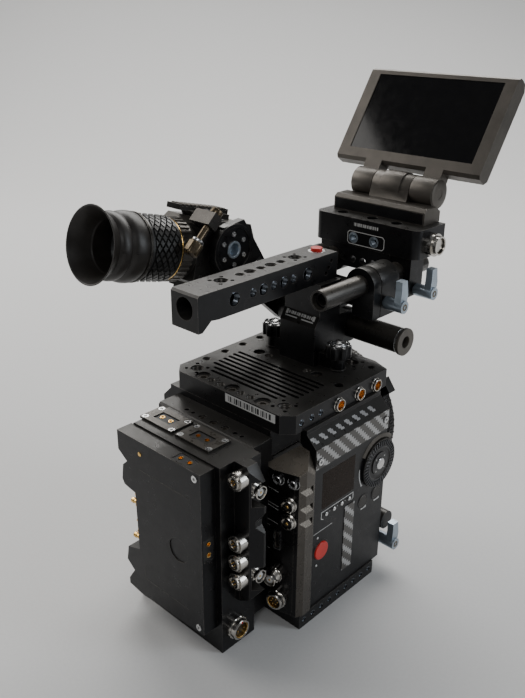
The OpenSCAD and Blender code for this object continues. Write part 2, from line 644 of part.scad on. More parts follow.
module bracket_outline() {
    translate([-48, 106]) square([96, 30]);
    translate([-42, 100]) square([84, 30]);
    for (s = [-1, 1]) translate([42*s, 106]) circle(r = 6);
}
module bracket_box() color(ink) difference() {
    translate([0, 0, 236]) linear_extrude(height = 22) bracket_outline();
    span([-44, 105, 239], [44, 132.5, 254.5]);
    for (s = [-1, 1]) rod_along_y(9.6*s, 99, 108, 242.8, 3.175);
    for (x = [-28, 0, 22]) rod_along_z(x, 110, 252, 259, 4.4);
    rod_along_x(43, 49, 117, 246, 6.4);
}
module bracket_socket() color(steel) translate([48, 117, 246]) rotate([0, 90, 0]) {
    translate([0, 0, -4]) cylinder(h = 4.1, r = 6.4);
    round_socket(8.6, 7, 5.4, 9);
}
module front_rod_clamp() color(ink) difference() {
    union() {
        for (s = [-1, 1]) {
            rod_along_y(rod_x*s, 102, 119, rod_z, 12.2);
            span([min(24*s, 42.6*s), 102, rod_z], [max(24*s, 42.6*s), 119, 236]);
        }
        span([30, 102, 206.5], [42.6, 119, rod_z]);
        span([-30, 104, 227], [30, 119, 236]);
        span([-24, 101, 218.5], [24, 107, 236]);
    }
    for (s = [-1, 1]) rod_along_y(rod_x*s, 100, 121, rod_z, rod_r + 0.05);
    for (i = [-2:2]) rod_along_y(9.4*i - 0.4, 100, 108, 225.4, 2.7);
    rod_along_x(35.4, 44, 110, 211.5, 3.08);
}

module hinge_base() color([0.3, 0.29, 0.28]) difference() {
    union() {
        side_profile(-42, 42, [[115.7, 258], [137, 258], [137, 270], [118.6, 270], [115.7, 267.6]]);
        rod_along_x(-17.3, 17.3, hinge_y, hinge_z, barrel_r);
        side_profile(-17.3, 17.3, [[127, 268], [150, 268], [151, 275], [130, 278]]);
        rod_along_x(-9, 9, hinge_y, hinge_z, barrel_r + 1);
    }
    for (s = [-1, 1]) rod_along_x(min(17.3*s, 43*s), max(17.3*s, 43*s), hinge_y, hinge_z,
        barrel_r + 0.5);
    rod_along_x(-20, 20, hinge_y, hinge_z, 3);
}
module hinge_pin() color(steel) rod_along_x(-36, 36, hinge_y, hinge_z, 3);

// frame of reference on the hinge axis, leaning with the monitor
module monitor_place() {
    translate([0, hinge_y, hinge_z]) rotate([-monitor_lean, 0, 0]) children();
}
module monitor_frame() color([0.4, 0.38, 0.35]) monitor_place() difference() {
    union() {
        difference() {
            side_profile(-monitor_half_w, monitor_half_w, [[-4.7, 17.5], [-2.2, 15],
                [6, 15], [9.5, 19], [9.5, 92], [6, 96.6], [-2.2, 96.6], [-4.7, 94.1]]);
            span([-55.9, -6, 25.2], [55.9, -3.2, 90.8]);
            span([-53.6, -4, 27.4], [53.6, 6.6, 88.6]);
        }
        for (s = [-1, 1]) {
            rod_along_x(min(17.8*s, 37*s), max(17.8*s, 37*s), 0, 0, barrel_r);
            side_profile(min(20.5*s, 35.5*s), max(20.5*s, 35.5*s), [[-4.7, 5], [8, 5],
                [6.5, 15.5], [-2.2, 15.5], [-4.7, 17.5]]);
        }
    }
    rod_along_x(-36.4, -16, 0, 0, 3.06);
    rod_along_x(16, 36.4, 0, 0, 3.06);
}
module monitor_glass() color([0.02, 0.02, 0.025]) monitor_place()
    span([-55.8, -4.1, 25.3], [55.8, -3.2, 90.7]);
module monitor_panel() color([0.25, 0.27, 0.3]) monitor_place()
    span([-53.4, -3, 27.6], [53.4, 0.4, 88.4]);

// frame of reference on the viewfinder axis, tilted with the eyepiece up
module finder_place() {
    translate([finder_x, finder_y, finder_z]) rotate([-finder_tilt, 0, 0]) children();
}
module finder_body() color(ink) {
    finder_place() difference() {
        union() {
            side_profile(-21, 21, [[-36, -20], [-33, -22.5], [18, -22.5], [24, -14], [24, 8],
                [14, 25], [-32, 25], [-36, 21]]);
            rod_along_y(0, -81, -35, 0, 21);
            side_profile(-6, 6, [[-31, 24.8], [5, 24.8], [5, 29], [-34, 29]]);
            side_profile(-12, 2, [[-42, 28.6], [7, 28.6], [7, 32.6], [-42, 32.6]]);
            side_profile(-10, 10, [[-31, -22], [-31, -27], [-26, -27], [-26, -31.5], [-4, -31.5],
                [-4, -22]]);
            knob_lug();
        }
        rod_along_y(0, -82, 6, 0, 18);
        for (i = [0:11]) span([-13, -40 + 4*i, 31.4], [3, -38.2 + 4*i, 33.6]);
        knob_axis() translate([0, 0, -20]) cylinder(h = 40, r = 2.66);
    }
    difference() {
        rod_along_x(finder_x + 20, -50.6, tilt_y, tilt_z, pivot_r);
        rod_along_x(-56, -50, tilt_y, tilt_z, 4.6);
    }
    finder_place() rod_along_y(0, 2, 3.6, 0, 18);
}
// direction of the clamp knob's shaft beside the finder body
module knob_axis() {
    translate([31, -41, 21]) rotate([-33, 0, 0]) children();
}
module knob_lug() {
    knob_axis() translate([-15, -4.5, 1]) cube([19.5, 9, 10]);
}
module finder_knob() color([0.5, 0.44, 0.34]) finder_place() knob_axis() {
    translate([0, 0, -19]) cylinder(h = 31, r = 2.6);
    translate([0, 0, 11.3]) cylinder(h = 3.6, r = 4.6);
    difference() {
        translate([0, 0, -22]) cylinder(h = 9, r = 5.4);
        for (a = [0:60:300]) translate([0, 0, -23]) rotate([0, 0, a])
            translate([6.2, 0, 0]) cylinder(h = 11, r = 1.8);
    }
}
module focus_ring() color([0.13, 0.13, 0.13]) finder_place() difference() {
    rod_along_y(0, -79, -52, 0, focus_r);
    rod_along_y(0, -80, -51, 0, 21.06);
}
module eyecup() color([0.11, 0.1, 0.1]) finder_place()
    rotate([90, 0, 0]) rotate_extrude() polygon([[21, 79.3], [24.2, 79.3], [24.4, 84.6],
        [22.6, 87], [23.8, 88.4], [23.4, 93], [21, 95], [22, 97.4], [cup_r, 110.5],
        [cup_r - 1.5, 110.9], [19.6, 97.4], [17.4, 95], [18, 89], [18, 82], [21, 81.4]]);
module eyepiece_lens() color([0.55, 0.6, 0.65]) finder_place() {
    rod_along_y(0, -77, -72, 0, 18);
    span([-9, 0, -6], [9, 2, 6]);
}
module finder_arm() color(ink) difference() {
    union() {
        rod_along_x(-44, -24, tube_y, tube_z, 15.4);
        rod_along_x(-57.4, -43, tube_y, tube_z, 13);
        rod_along_x(-58.4, -50, tilt_y, tilt_z, 19);
        side_profile(-57.4, -51, [[2, 261], [22.5, 263.5], [63.7, 198.4], [83, 190], [80, 176],
            [64, 175], [38, 198], [17, 212], [-2, 226], [-6, 240]]);
    }
    side_profile(-58, -50, [[39.5, 232.1], [31, 226.4], [36, 214.5], [46.6, 217.5]]);
    rod_along_x(-51, -49, tilt_y, tilt_z, 16.4);
    for (a = [0:60:300]) translate([-54, tilt_y, tilt_z]) rotate([a, 0, 0])
        translate([0, 0, 11.4]) rotate([0, 90, 0]) cylinder(h = 6, r = 1.5);
    rod_along_x(-60, -49, tilt_y, tilt_z, pivot_r + 0.06);
    rod_along_x(-61, -23, tube_y, tube_z, tube_r + 0.06);
}

base_plate();
body_shell();
carbon_panels();
side_window();
cap_screws();
lens_mount();
sensor_module();
circuit_boards();
cooler();
accessory_plate();
round_sockets();
bnc_sockets();
power_sockets();
signal_ports();
expander_housing();
port_module();
power_box();
tap_plates();
tap_inserts();
battery_plate();
contact_blades();
tower();
top_handle();
cross_tube();
tube_cap();
rod_bridge();
support_rods();
base_rod_bracket();
dial_ring();
dial_button();
soft_key_1();
soft_key_2();
soft_key_3();
soft_key_4();
user_button_a();
user_button_b();
record_button();
handle_button();
thumb_screw_right();
thumb_screw_left();
rear_lever();
front_lever();
base_lever();
mount_collar();
battery_catch();
fan_rotor();
bracket_box();
front_rod_clamp();
bracket_socket();
hinge_base();
hinge_pin();
monitor_frame();
monitor_glass();
monitor_panel();
finder_arm();
finder_body();
focus_ring();
eyecup();
eyepiece_lens();
finder_knob();
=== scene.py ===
"""Looks of the cinema camera rig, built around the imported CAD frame.

Metres, in the frame of the record: +X is the camera's right, +Y forward, +Z up.
"""

import json
import math
import bmesh
import bpy
from mathutils import Matrix, Vector


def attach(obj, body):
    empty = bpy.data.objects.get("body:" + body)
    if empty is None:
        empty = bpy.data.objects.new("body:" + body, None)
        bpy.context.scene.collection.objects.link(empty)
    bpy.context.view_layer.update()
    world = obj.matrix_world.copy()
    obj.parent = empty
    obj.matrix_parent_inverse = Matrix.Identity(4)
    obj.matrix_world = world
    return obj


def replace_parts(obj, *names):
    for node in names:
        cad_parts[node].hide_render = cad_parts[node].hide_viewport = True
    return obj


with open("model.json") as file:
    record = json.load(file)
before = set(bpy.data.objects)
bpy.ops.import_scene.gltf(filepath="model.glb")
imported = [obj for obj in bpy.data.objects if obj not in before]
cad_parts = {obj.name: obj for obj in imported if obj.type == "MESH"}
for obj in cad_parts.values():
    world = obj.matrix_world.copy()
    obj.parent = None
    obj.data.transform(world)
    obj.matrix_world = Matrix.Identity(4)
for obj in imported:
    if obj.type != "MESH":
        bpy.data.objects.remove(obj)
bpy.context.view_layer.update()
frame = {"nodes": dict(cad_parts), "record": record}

MM = 0.001


# ---------------------------------------------------------------- materials
def new_material(name):
    """An empty node material, its node tree and its shader."""
    mat = bpy.data.materials.new(name)
    mat.use_nodes = True
    return mat, mat.node_tree, mat.node_tree.nodes["Principled BSDF"]


def coords(tree):
    """Object coordinates in millimetres."""
    tex = tree.nodes.new("ShaderNodeTexCoord")
    scale = tree.nodes.new("ShaderNodeVectorMath")
    scale.operation = "SCALE"
    scale.inputs["Scale"].default_value = 1 / MM
    tree.links.new(tex.outputs["Object"], scale.inputs[0])
    return scale.outputs[0]


def noise(tree, vector, scale, detail=3.0, rough=0.5):
    node = tree.nodes.new("ShaderNodeTexNoise")
    node.inputs["Scale"].default_value = scale
    node.inputs["Detail"].default_value = detail
    node.inputs["Roughness"].default_value = rough
    tree.links.new(vector, node.inputs["Vector"])
    return node.outputs["Fac"]


def remap(tree, value, low, high, to_low, to_high):
    node = tree.nodes.new("ShaderNodeMapRange")
    for name, v in zip(("From Min", "From Max", "To Min", "To Max"), (low, high, to_low, to_high)):
        node.inputs[name].default_value = v
    tree.links.new(value, node.inputs["Value"])
    return node.outputs["Result"]


def mix_colour(tree, factor, a, b):
    node = tree.nodes.new("ShaderNodeMix")
    node.data_type = "RGBA"
    for socket, v in ((node.inputs[6], a), (node.inputs[7], b)):
        if isinstance(v, tuple):
            socket.default_value = (*v, 1)
        else:
            tree.links.new(v, socket)
    tree.links.new(factor, node.inputs[0])
    return node.outputs[2]


def math_node(tree, op, a, b=None, clamp=False):
    node = tree.nodes.new("ShaderNodeMath")
    node.operation = op
    node.use_clamp = clamp
    for i, v in enumerate((a, b)):
        if v is None:
            continue
        if isinstance(v, (int, float)):
            node.inputs[i].default_value = v
        else:
            tree.links.new(v, node.inputs[i])
    return node.outputs[0]


def bump(tree, height, strength, distance, normal=None):
    node = tree.nodes.new("ShaderNodeBump")
    node.inputs["Strength"].default_value = strength
    node.inputs["Distance"].default_value = distance
    tree.links.new(height, node.inputs["Height"])
    if normal is not None:
        tree.links.new(normal, node.inputs["Normal"])
    return node.outputs["Normal"]


def edge_mask(tree, radius):
    """1 on sharp outer and inner edges, 0 on the flats between them."""
    soft = tree.nodes.new("ShaderNodeBevel")
    soft.samples = 4
    soft.inputs["Radius"].default_value = radius
    geo = tree.nodes.new("ShaderNodeNewGeometry")
    dot = tree.nodes.new("ShaderNodeVectorMath")
    dot.operation = "DOT_PRODUCT"
    tree.links.new(soft.outputs[0], dot.inputs[0])
    tree.links.new(geo.outputs["True Normal"], dot.inputs[1])
    return remap(tree, dot.outputs["Value"], 0.995, 0.86, 0, 1)


def facing(tree, axis, low, high):
    """0 to 1 as a surface turns towards a world axis."""
    geo = tree.nodes.new("ShaderNodeNewGeometry")
    split = tree.nodes.new("ShaderNodeSeparateXYZ")
    tree.links.new(geo.outputs["Normal"], split.inputs[0])
    return remap(tree, split.outputs[axis], low, high, 0, 1)


def metal(name, colour, edge_wear_and_glint_colour, rough=0.4, metallic=0.7, grain=1.0, edge_wear_and_glint=0.5, spec=0.5, top=None,
          rear=None):
    """Blasted or brushed metal: fine grain, patchy sheen, edges lightened partly as rubbed metal and partly
    as painted highlight, and optional painted highlight on up-facing and painted shade on rear-facing
    surfaces.
    """
    mat, tree, shader = new_material(name)
    pos = coords(tree)
    fine = noise(tree, pos, 3.2, 2)
    broad = noise(tree, pos, 0.035, 4, 0.6)
    smudge = noise(tree, pos, 0.16, 5, 0.65)
    tint = mix_colour(tree, remap(tree, broad, 0.35, 0.65, 0, 1), colour,
                      tuple(c * 1.35 for c in colour))
    # Painted highlight: surfaces that face up are mixed towards the lighter top colour, as if lit from
    # above.
    if top:
        tint = mix_colour(tree, facing(tree, "Z", 0.25, 0.9), tint, top)
    # Painted shade: surfaces that face the rear are mixed towards the darker rear colour.
    if rear:
        tint = mix_colour(tree, facing(tree, "Y", -0.85, -0.95), tint, rear)
    # Edges are lightened towards the edge colour: partly rubbed-through metal, partly a painted highlight
    # along the edges.
    edges = math_node(tree, "MULTIPLY", edge_mask(tree, 0.00045),
                      remap(tree, smudge, 0.38, 0.6, 0.3 * edge_wear_and_glint, edge_wear_and_glint), clamp=True)
    tree.links.new(mix_colour(tree, edges, tint, edge_wear_and_glint_colour), shader.inputs["Base Color"])
    uneven = remap(tree, smudge, 0.3, 0.7, rough - 0.07, rough + 0.09)
    tree.links.new(math_node(tree, "SUBTRACT", uneven, math_node(tree, "MULTIPLY", edges, 0.12)),
                   shader.inputs["Roughness"])
    shader.inputs["Metallic"].default_value = metallic
    shader.inputs["Specular IOR Level"].default_value = spec
    tree.links.new(bump(tree, fine, 0.35 * grain, 0.00006), shader.inputs["Normal"])
    return mat


def plastic(name, colour, rough=0.5, grain=1.0, spec=0.5, scale=2.4):
    """Moulded plastic or rubber with a fine spark-eroded grain and faint dust."""
    mat, tree, shader = new_material(name)
    pos = coords(tree)
    fine = noise(tree, pos, scale, 3)
    broad = noise(tree, pos, 0.09, 4, 0.6)
    light = tuple(min(1, c * 1.25 + 0.006) for c in colour)
    tree.links.new(mix_colour(tree, remap(tree, broad, 0.35, 0.7, 0, 1), colour, light),
                   shader.inputs["Base Color"])
    tree.links.new(remap(tree, broad, 0.3, 0.7, rough - 0.06, rough + 0.08),
                   shader.inputs["Roughness"])
    shader.inputs["Specular IOR Level"].default_value = spec
    tree.links.new(bump(tree, fine, 0.5 * grain, 0.0001), shader.inputs["Normal"])
    return mat


def glass(name, colour, rough=0.05, coat=0.6, spec=0.5):
    """Dark coated screen or lens glass with faint wipe marks."""
    mat, tree, shader = new_material(name)
    pos = coords(tree)
    marks = noise(tree, pos, 0.12, 6, 0.7)
    tree.links.new(mix_colour(tree, marks, colour, tuple(c * 1.6 + 0.004 for c in colour)),
                   shader.inputs["Base Color"])
    tree.links.new(remap(tree, marks, 0.35, 0.7, rough, rough + 0.06), shader.inputs["Roughness"])
    shader.inputs["Specular IOR Level"].default_value = spec
    shader.inputs["Coat Weight"].default_value = coat
    shader.inputs["Coat Roughness"].default_value = 0.03
    return mat


def twill(name, ground, light, rough=0.34):
    """Woven carbon cloth: stepped diagonal groups of light squares on a darker ground; the weave is real,
    the light squares are painted sheen on the threads turned to the light.
    """
    mat, tree, shader = new_material(name)
    pos = coords(tree)
    split = tree.nodes.new("ShaderNodeSeparateXYZ")
    tree.links.new(pos, split.inputs[0])
    pitch = 2.3     # width of one woven square, mm

    def cell(axis):
        return math_node(tree, "FLOOR", math_node(tree, "DIVIDE", split.outputs[axis], pitch))

    run = math_node(tree, "ADD", cell("Y"), cell("Z"))
    phase = math_node(tree, "FLOORED_MODULO", run, 5)
    on = math_node(tree, "LESS_THAN", phase, 1.5)
    speck = noise(tree, pos, 1.6, 4, 0.7)
    base = mix_colour(tree, remap(tree, speck, 0.35, 0.65, 0, 1), ground, tuple(c * 0.55 for c in ground))
    # Painted sheen: the threads turned to the light get a much lighter colour than the ground.
    lit_thread_tone = mix_colour(tree, remap(tree, speck, 0.3, 0.7, 0, 1), light, tuple(c * 0.72 for c in light))
    tree.links.new(mix_colour(tree, on, base, lit_thread_tone), shader.inputs["Base Color"])
    shader.inputs["Roughness"].default_value = rough
    shader.inputs["Coat Weight"].default_value = 0.25
    relief = math_node(tree, "ADD", on, math_node(tree, "MULTIPLY", speck, 0.6))
    tree.links.new(bump(tree, relief, 0.35, 0.00015), shader.inputs["Normal"])
    return mat


MAT = {
    # The top colours of black_anodised and graphite_anodised are painted highlight on up-facing surfaces.
    "black_anodised": metal("black_anodised", (0.0065, 0.0064, 0.0072), (0.24, 0.22, 0.2), 0.32, 0.35,
                            edge_wear_and_glint=0.7, spec=0.36, top=(0.036, 0.034, 0.031)),
    "graphite_anodised": metal("graphite_anodised", (0.017, 0.0155, 0.014), (0.3, 0.28, 0.25), 0.3, 0.45,
                               edge_wear_and_glint=0.7, spec=0.42, top=(0.085, 0.077, 0.067)),
    "warm_grey_metal": metal("warm_grey_metal", (0.075, 0.067, 0.058), (0.24, 0.22, 0.19), 0.4, 0.6),
    # carbon_weave's light colour is painted sheen on the threads turned to the light.
    "carbon_weave": twill("carbon_weave", (0.045, 0.039, 0.033), (0.4, 0.395, 0.39)),
    "bright_steel": metal("bright_steel", (0.5, 0.5, 0.5), (0.7, 0.7, 0.7), 0.26, 1.0),
    "nickel_fittings": metal("nickel_fittings", (0.46, 0.44, 0.41), (0.66, 0.64, 0.6), 0.2, 1.0),
    "blue_grey_metal": metal("blue_grey_metal", (0.3, 0.35, 0.4), (0.55, 0.6, 0.65), 0.34, 0.8),
    "bare_aluminium": metal("bare_aluminium", (0.5, 0.5, 0.51), (0.7, 0.7, 0.7), 0.4, 1.0),
    "gold_contacts": metal("gold_contacts", (0.72, 0.46, 0.15), (0.9, 0.65, 0.3), 0.2, 1.0),
    "black_plastic": plastic("black_plastic", (0.008, 0.008, 0.0085), 0.42),
    "red_plastic": plastic("red_plastic", (0.52, 0.014, 0.008), 0.33, 0.3),
    "soft_rubber": plastic("soft_rubber", (0.014, 0.013, 0.013), 0.5, 1.0, 0.4),
    "dark_glass": glass("dark_glass", (0.002, 0.0018, 0.0022), 0.06, 0.0, 0.25),
    "lens_glass": glass("lens_glass", (0.03, 0.035, 0.045), 0.02),
    "circuit_green": plastic("circuit_green", (0.02, 0.09, 0.035), 0.5),
    "bronze_knob": metal("bronze_knob", (0.10, 0.078, 0.052), (0.5, 0.4, 0.24), 0.28, 0.95),
}
MAT_THREAD = metal("thread_sheen", (0.085, 0.095, 0.11), (0.4, 0.43, 0.47), 0.22, 0.95)
MAT_WHITE = plastic("printed_white", (0.52, 0.52, 0.51), 0.5, 0.3)
MAT_SILVER_PRINT = plastic("printed_silver", (0.34, 0.34, 0.345), 0.4, 0.8)
MAT_SHEEN = metal("dial_ribs", (0.045, 0.046, 0.05), (0.2, 0.2, 0.21), 0.3, 0.5)
MAT_CUP = plastic("bellows_rubber", (0.014, 0.0115, 0.0095), 0.4, 0.7, 0.42)
MAT_KNURL = plastic("knurl_rubber", (0.012, 0.0115, 0.011), 0.36, 0.8, 0.5)
MAT_PANEL = glass("brown_panel", (0.0105, 0.0055, 0.0028), 0.25, 0.0, 0.08)
# brown_facets: its top colour is painted highlight on up-facing facets and its rear colour is painted shade
# on rear-facing ones.
MAT_FACET = metal("brown_facets", (0.075, 0.067, 0.058), (0.4, 0.37, 0.32), 0.28, 0.6, edge_wear_and_glint=0.8,
                  top=(0.27, 0.236, 0.195), rear=(0.011, 0.0105, 0.011))
SLOT_OF = {p["node"]: p["material_slot"] for p in frame["record"]["subparts"]}
for node, obj in frame["nodes"].items():
    obj.data.materials.clear()
    obj.data.materials.append(MAT[SLOT_OF[node]])
frame["nodes"]["side_window"].data.materials[0] = MAT_PANEL
frame["nodes"]["dial_button"].data.materials[0] = MAT["black_plastic"]
# The port module takes the facet metal, with its painted highlight and painted shade.
frame["nodes"]["port_module"].data.materials[0] = MAT_FACET

# ---------------------------------------------------------------- softened edges on the CAD pieces
EDGED = {
    "base_plate": 0.5, "body_shell": 0.7, "accessory_plate": 0.7, "expander_housing": 0.8,
    "port_module": 0.5, "power_box": 1.0, "tap_plates": 0.4, "battery_plate": 0.8, "tower": 0.7,
    "top_handle": 1.0, "rod_bridge": 0.7, "base_rod_bracket": 0.8, "bracket_box": 0.8,
    "front_rod_clamp": 0.7, "hinge_base": 0.7, "monitor_frame": 0.8, "finder_arm": 0.8,
    "finder_body": 0.8, "rear_lever": 0.8, "front_lever": 0.8, "base_lever": 0.8,
    "mount_collar": 0.5, "lens_mount": 0.5, "tube_cap": 0.4, "thumb_screw_right": 0.4,
    "thumb_screw_left": 0.4, "record_button": 0.7, "handle_button": 0.5, "user_button_a": 0.3,
    "user_button_b": 0.3, "dial_ring": 0.4, "support_rods": 0.3, "cap_screws": 0.15,
    "monitor_glass": 0.2, "finder_knob": 0.3, "battery_catch": 0.3,
}
for node, width in EDGED.items():
    obj = frame["nodes"][node]
    weld = obj.modifiers.new("weld", "WELD")
    weld.merge_threshold = 0.00001
    flat = obj.modifiers.new("flat", "DECIMATE")
    flat.decimate_type = "DISSOLVE"
    flat.angle_limit = math.radians(2)
    bevel = obj.modifiers.new("edges", "BEVEL")
    bevel.width = width * MM
    bevel.segments = 3
    bevel.limit_method = "ANGLE"
    bevel.angle_limit = math.radians(28)
    bevel.use_clamp_overlap = True
    bevel.harden_normals = True


# ---------------------------------------------------------------- building blocks, in millimetres
def place(at, out, along=(1, 0, 0)):
    """Matrix that stands +Z along out at a point, with +X as near as it can be to along."""
    z = Vector(out).normalized()
    x = Vector(along) - z * z.dot(Vector(along))
    if x.length < 1e-4:
        x = Vector((0, 1, 0)) - z * z.y
    x.normalize()
    return Matrix.Translation(at) @ Matrix((x, z.cross(x), z)).transposed().to_4x4()


def lathe(bm, profile, m, count=48, start=0.0, sweep=math.tau):
    """Spins a list of (radius, height) points about local +Z."""
    whole = abs(sweep - math.tau) < 1e-6
    rings = []
    for i in range(count if whole else count + 1):
        a = start + sweep * i / count
        rings.append([bm.verts.new(m @ Vector((r * math.cos(a), r * math.sin(a), z)))
                      for r, z in profile])
    for i in range(count):
        one, two = rings[i], rings[(i + 1) % len(rings)]
        for k in range(len(profile) - 1):
            bm.faces.new((one[k], two[k], two[k + 1], one[k + 1]))
    if not whole:
        for ring in (rings[0], rings[-1]):
            bm.faces.new(ring)


def prism(bm, outline, low, high, m, top=0.0):
    """Pushes an outline from low to high; top draws the upper edge in a little."""
    centre = Vector((sum(p[0] for p in outline), sum(p[1] for p in outline))) / len(outline)

    def ring(z, inset):
        verts = []
        for p in outline:
            v = Vector(p) - centre
            v *= max(0.0, 1 - inset / max(v.length, 1e-6))
            verts.append(bm.verts.new(m @ Vector((*(v + centre), z))))
        return verts

    rings = [ring(low, 0), ring(high - top, 0)] + ([ring(high, top)] if top else [])
    for one, two in zip(rings, rings[1:]):
        for i in range(len(outline)):
            j = (i + 1) % len(outline)
            bm.faces.new((one[i], one[j], two[j], two[i]))
    bm.faces.new(rings[0])
    bm.faces.new(rings[-1])


def block(bm, low, high, m, top=0.0):
    prism(bm, [(low[0], low[1]), (high[0], low[1]), (high[0], high[1]), (low[0], high[1])],
          low[2], high[2], m, top)


def line(bm, points, width, m, height=0.08):
    """A printed line through (x, y) points, as thin raised strips with mitred joins."""
    pts = [Vector(p) for p in points]
    sides = []
    for i, p in enumerate(pts):
        a = (p - pts[i - 1]).normalized() if i else (pts[1] - p).normalized()
        b = (pts[i + 1] - p).normalized() if i < len(pts) - 1 else a
        n = Vector((-(a + b).y, (a + b).x)).normalized()
        n *= width / 2 / max(0.3, n.dot(Vector((-a.y, a.x))))
        sides.append((p + n, p - n))
    for (a, b), (c, d) in zip(sides, sides[1:]):
        prism(bm, [tuple(a), tuple(b), tuple(d), tuple(c)], 0, height, m)


def thread(bm, r, depth, pitch, m, count=28):
    """Inside thread that starts at local z = 0 and goes down, wound as one helix."""
    turns = depth / pitch
    steps = int(turns * count)
    crest, root = [], []
    for i in range(steps + count + 1):
        a = math.tau * i / count
        z = min(0.0, max(-depth, pitch / 2 - pitch * i / count))
        crest.append(bm.verts.new(m @ Vector(((r - 0.55) * math.cos(a), (r - 0.55) * math.sin(a), z))))
        z = min(0.0, max(-depth, -pitch * i / count))
        root.append(bm.verts.new(m @ Vector(((r - 0.04) * math.cos(a), (r - 0.04) * math.sin(a), z))))
    for i in range(steps + count):
        bm.faces.new((crest[i], crest[i + 1], root[i + 1], root[i]))
        if i + count < len(crest) - 1:
            bm.faces.new((root[i], root[i + 1], crest[i + 1 + count], crest[i + count]))


def piece(name, bm, slot, body="camera", mat=None, sharp=32):
    """Turns a bmesh in millimetres into a shown piece that rides a body."""
    bmesh.ops.remove_doubles(bm, verts=bm.verts, dist=1e-4)
    bmesh.ops.dissolve_degenerate(bm, edges=bm.edges, dist=1e-5)
    bmesh.ops.recalc_face_normals(bm, faces=bm.faces)
    mesh = bpy.data.meshes.new(name)
    bm.to_mesh(mesh)
    bm.free()
    mesh.transform(Matrix.Scale(MM, 4))
    mesh.materials.append(mat or MAT[slot])
    for face in mesh.polygons:
        face.use_smooth = True
    mesh.set_sharp_from_angle(angle=math.radians(sharp))
    obj = bpy.data.objects.new(name, mesh)
    bpy.context.scene.collection.objects.link(obj)
    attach(obj, body)
    return obj


RIGHT, REAR, TOP = (1, 0, 0), (0, -1, 0), (0, 0, 1)
QUARTER_R, QUARTER_PITCH = 3.175, 1.27       # 1/4-20 thread
WIDE_R, WIDE_PITCH = 4.7625, 1.5875          # 3/8-16 thread


# ---------------------------------------------------------------- tapped holes
dark_threads, bright_threads = bmesh.new(), bmesh.new()
for x, y in ((-21.4, -41), (-11.8, -41), (7.6, -41), (17, -41), (-21, 17.6), (16.6, 17.6),
             *((-50, -18.4 + 19.1 * i) for i in range(4))):
    thread(dark_threads, QUARTER_R, 7.6, QUARTER_PITCH, place((x, y, 166), TOP))
for x, y in ((-43, -34.3), (41.5, -34.3), (31.2, 51.9), (-31.2, 51.9)):
    thread(dark_threads, WIDE_R, 9.6, WIDE_PITCH, place((x, y, 165.6), TOP))
for y in (-33.6, -23.3, -13.9):
    thread(bright_threads, 2.6, 7, 0.9, place((56.2, y, 158.5), RIGHT))
for y in (-50.3, 20.5):
    thread(dark_threads, WIDE_R, 7.6, WIDE_PITCH, place((0, y, 246.2), TOP))
    thread(bright_threads, WIDE_R, 4.8, 1.3, place((12.2, y, 236.8), RIGHT))
for y in (-33.4, -13.7, 6):
    thread(dark_threads, QUARTER_R, 7.6, QUARTER_PITCH, place((0, y, 246.3), TOP))
    thread(bright_threads, QUARTER_R, 4.8, 1.1, place((12.2, y, 236.8), RIGHT))
for y in (-23.8, -3.9):
    thread(dark_threads, 4.1, 7.6, 1.4, place((0, y, 246.3), TOP))
    thread(bright_threads, 4.1, 4.8, 1.2, place((12.2, y, 236.8), RIGHT))
for i in range(-4, 5):
    thread(bright_threads, 2.4, 6, 0.9, place((67.7, 9.525 * i, 5.65), RIGHT))
    thread(bright_threads, 2.4, 6, 0.9, place((-67.7, 9.525 * i, 5.65), (-1, 0, 0)))
piece("dark_threads", dark_threads, "graphite_anodised", sharp=60)
piece("bright_threads", bright_threads, "bright_steel", mat=MAT_THREAD, sharp=60)
bm = bmesh.new()
for s in (-1, 1):
    thread(bm, QUARTER_R, 5, QUARTER_PITCH, place((9.6 * s, 100.1, 242.8), REAR))
    lathe(bm, [(3.1, -3), (3.1, 0.1), (4.3, 0.1), (4.3, -0.4)], place((9.6 * s, 100, 242.8), REAR))
piece("bracket_threads", bm, "bright_steel", "rod_bracket", MAT["blue_grey_metal"], 60)

# ---------------------------------------------------------------- round sockets
SLANT = math.atan(4.4 / 19)
OUT = (math.sin(SLANT), -math.cos(SLANT), 0)


def on_slant(x, z):
    return place((x, -50 + (x - 47) * 4.4 / 19, z), OUT)


def polygon(r, count, start=0.0):
    """Corners of a regular polygon; start turns it by a part of one side."""
    return [(r * math.cos(math.tau * (i + start) / count), r * math.sin(math.tau * (i + start) / count))
            for i in range(count)]


def toothed(outer, inner, count):
    """A rim whose corners lie on two radii in turn, for knurled nuts."""
    return [((outer if i % 2 else inner) * math.cos(math.tau * i / count),
             (outer if i % 2 else inner) * math.sin(math.tau * i / count)) for i in range(count)]


def socket(shell, inner, gold, m, nut, nose, nut_h, nose_h, pins=4, flats=True):
    """Panel socket: flat-sided nut, rounded barrel, dark insert and gold pins."""
    if flats:
        prism(shell, polygon(nut * 1.04, 12, 0.5), 0, nut_h, m, 0.35)
    else:
        lathe(shell, [(0, 0), (nut, 0), (nut, nut_h - 0.5), (nut - 0.5, nut_h), (0, nut_h)], m)
    lip = nose - 1.0
    lathe(shell, [(nose, 0), (nose, nose_h * 0.62), (nose - 0.25, nose_h * 0.66),
                  (nose - 0.25, nose_h * 0.74), (nose, nose_h * 0.78), (nose, nose_h - 0.5),
                  (nose - 0.5, nose_h), (lip, nose_h), (lip, nose_h - 3.4), (0, nose_h - 3.4)], m)
    lathe(inner, [(0, nose_h - 3.4), (lip * 0.74, nose_h - 3.4), (lip * 0.74, nose_h - 1.3),
                  (lip * 0.68, nose_h - 1.0), (0, nose_h - 1.0)], m, 32)
    for u, v in [(0, 0)] if pins == 1 else polygon(lip * 0.4, pins):
        size = lip * (0.3 if pins == 1 else 0.13)
        lathe(gold, [(0, nose_h - 1.2), (size, nose_h - 1.2), (size, nose_h - 0.5),
                     (size * 0.6, nose_h - 0.1), (0, nose_h)], m @ Matrix.Translation((u, v, 0)), 16)


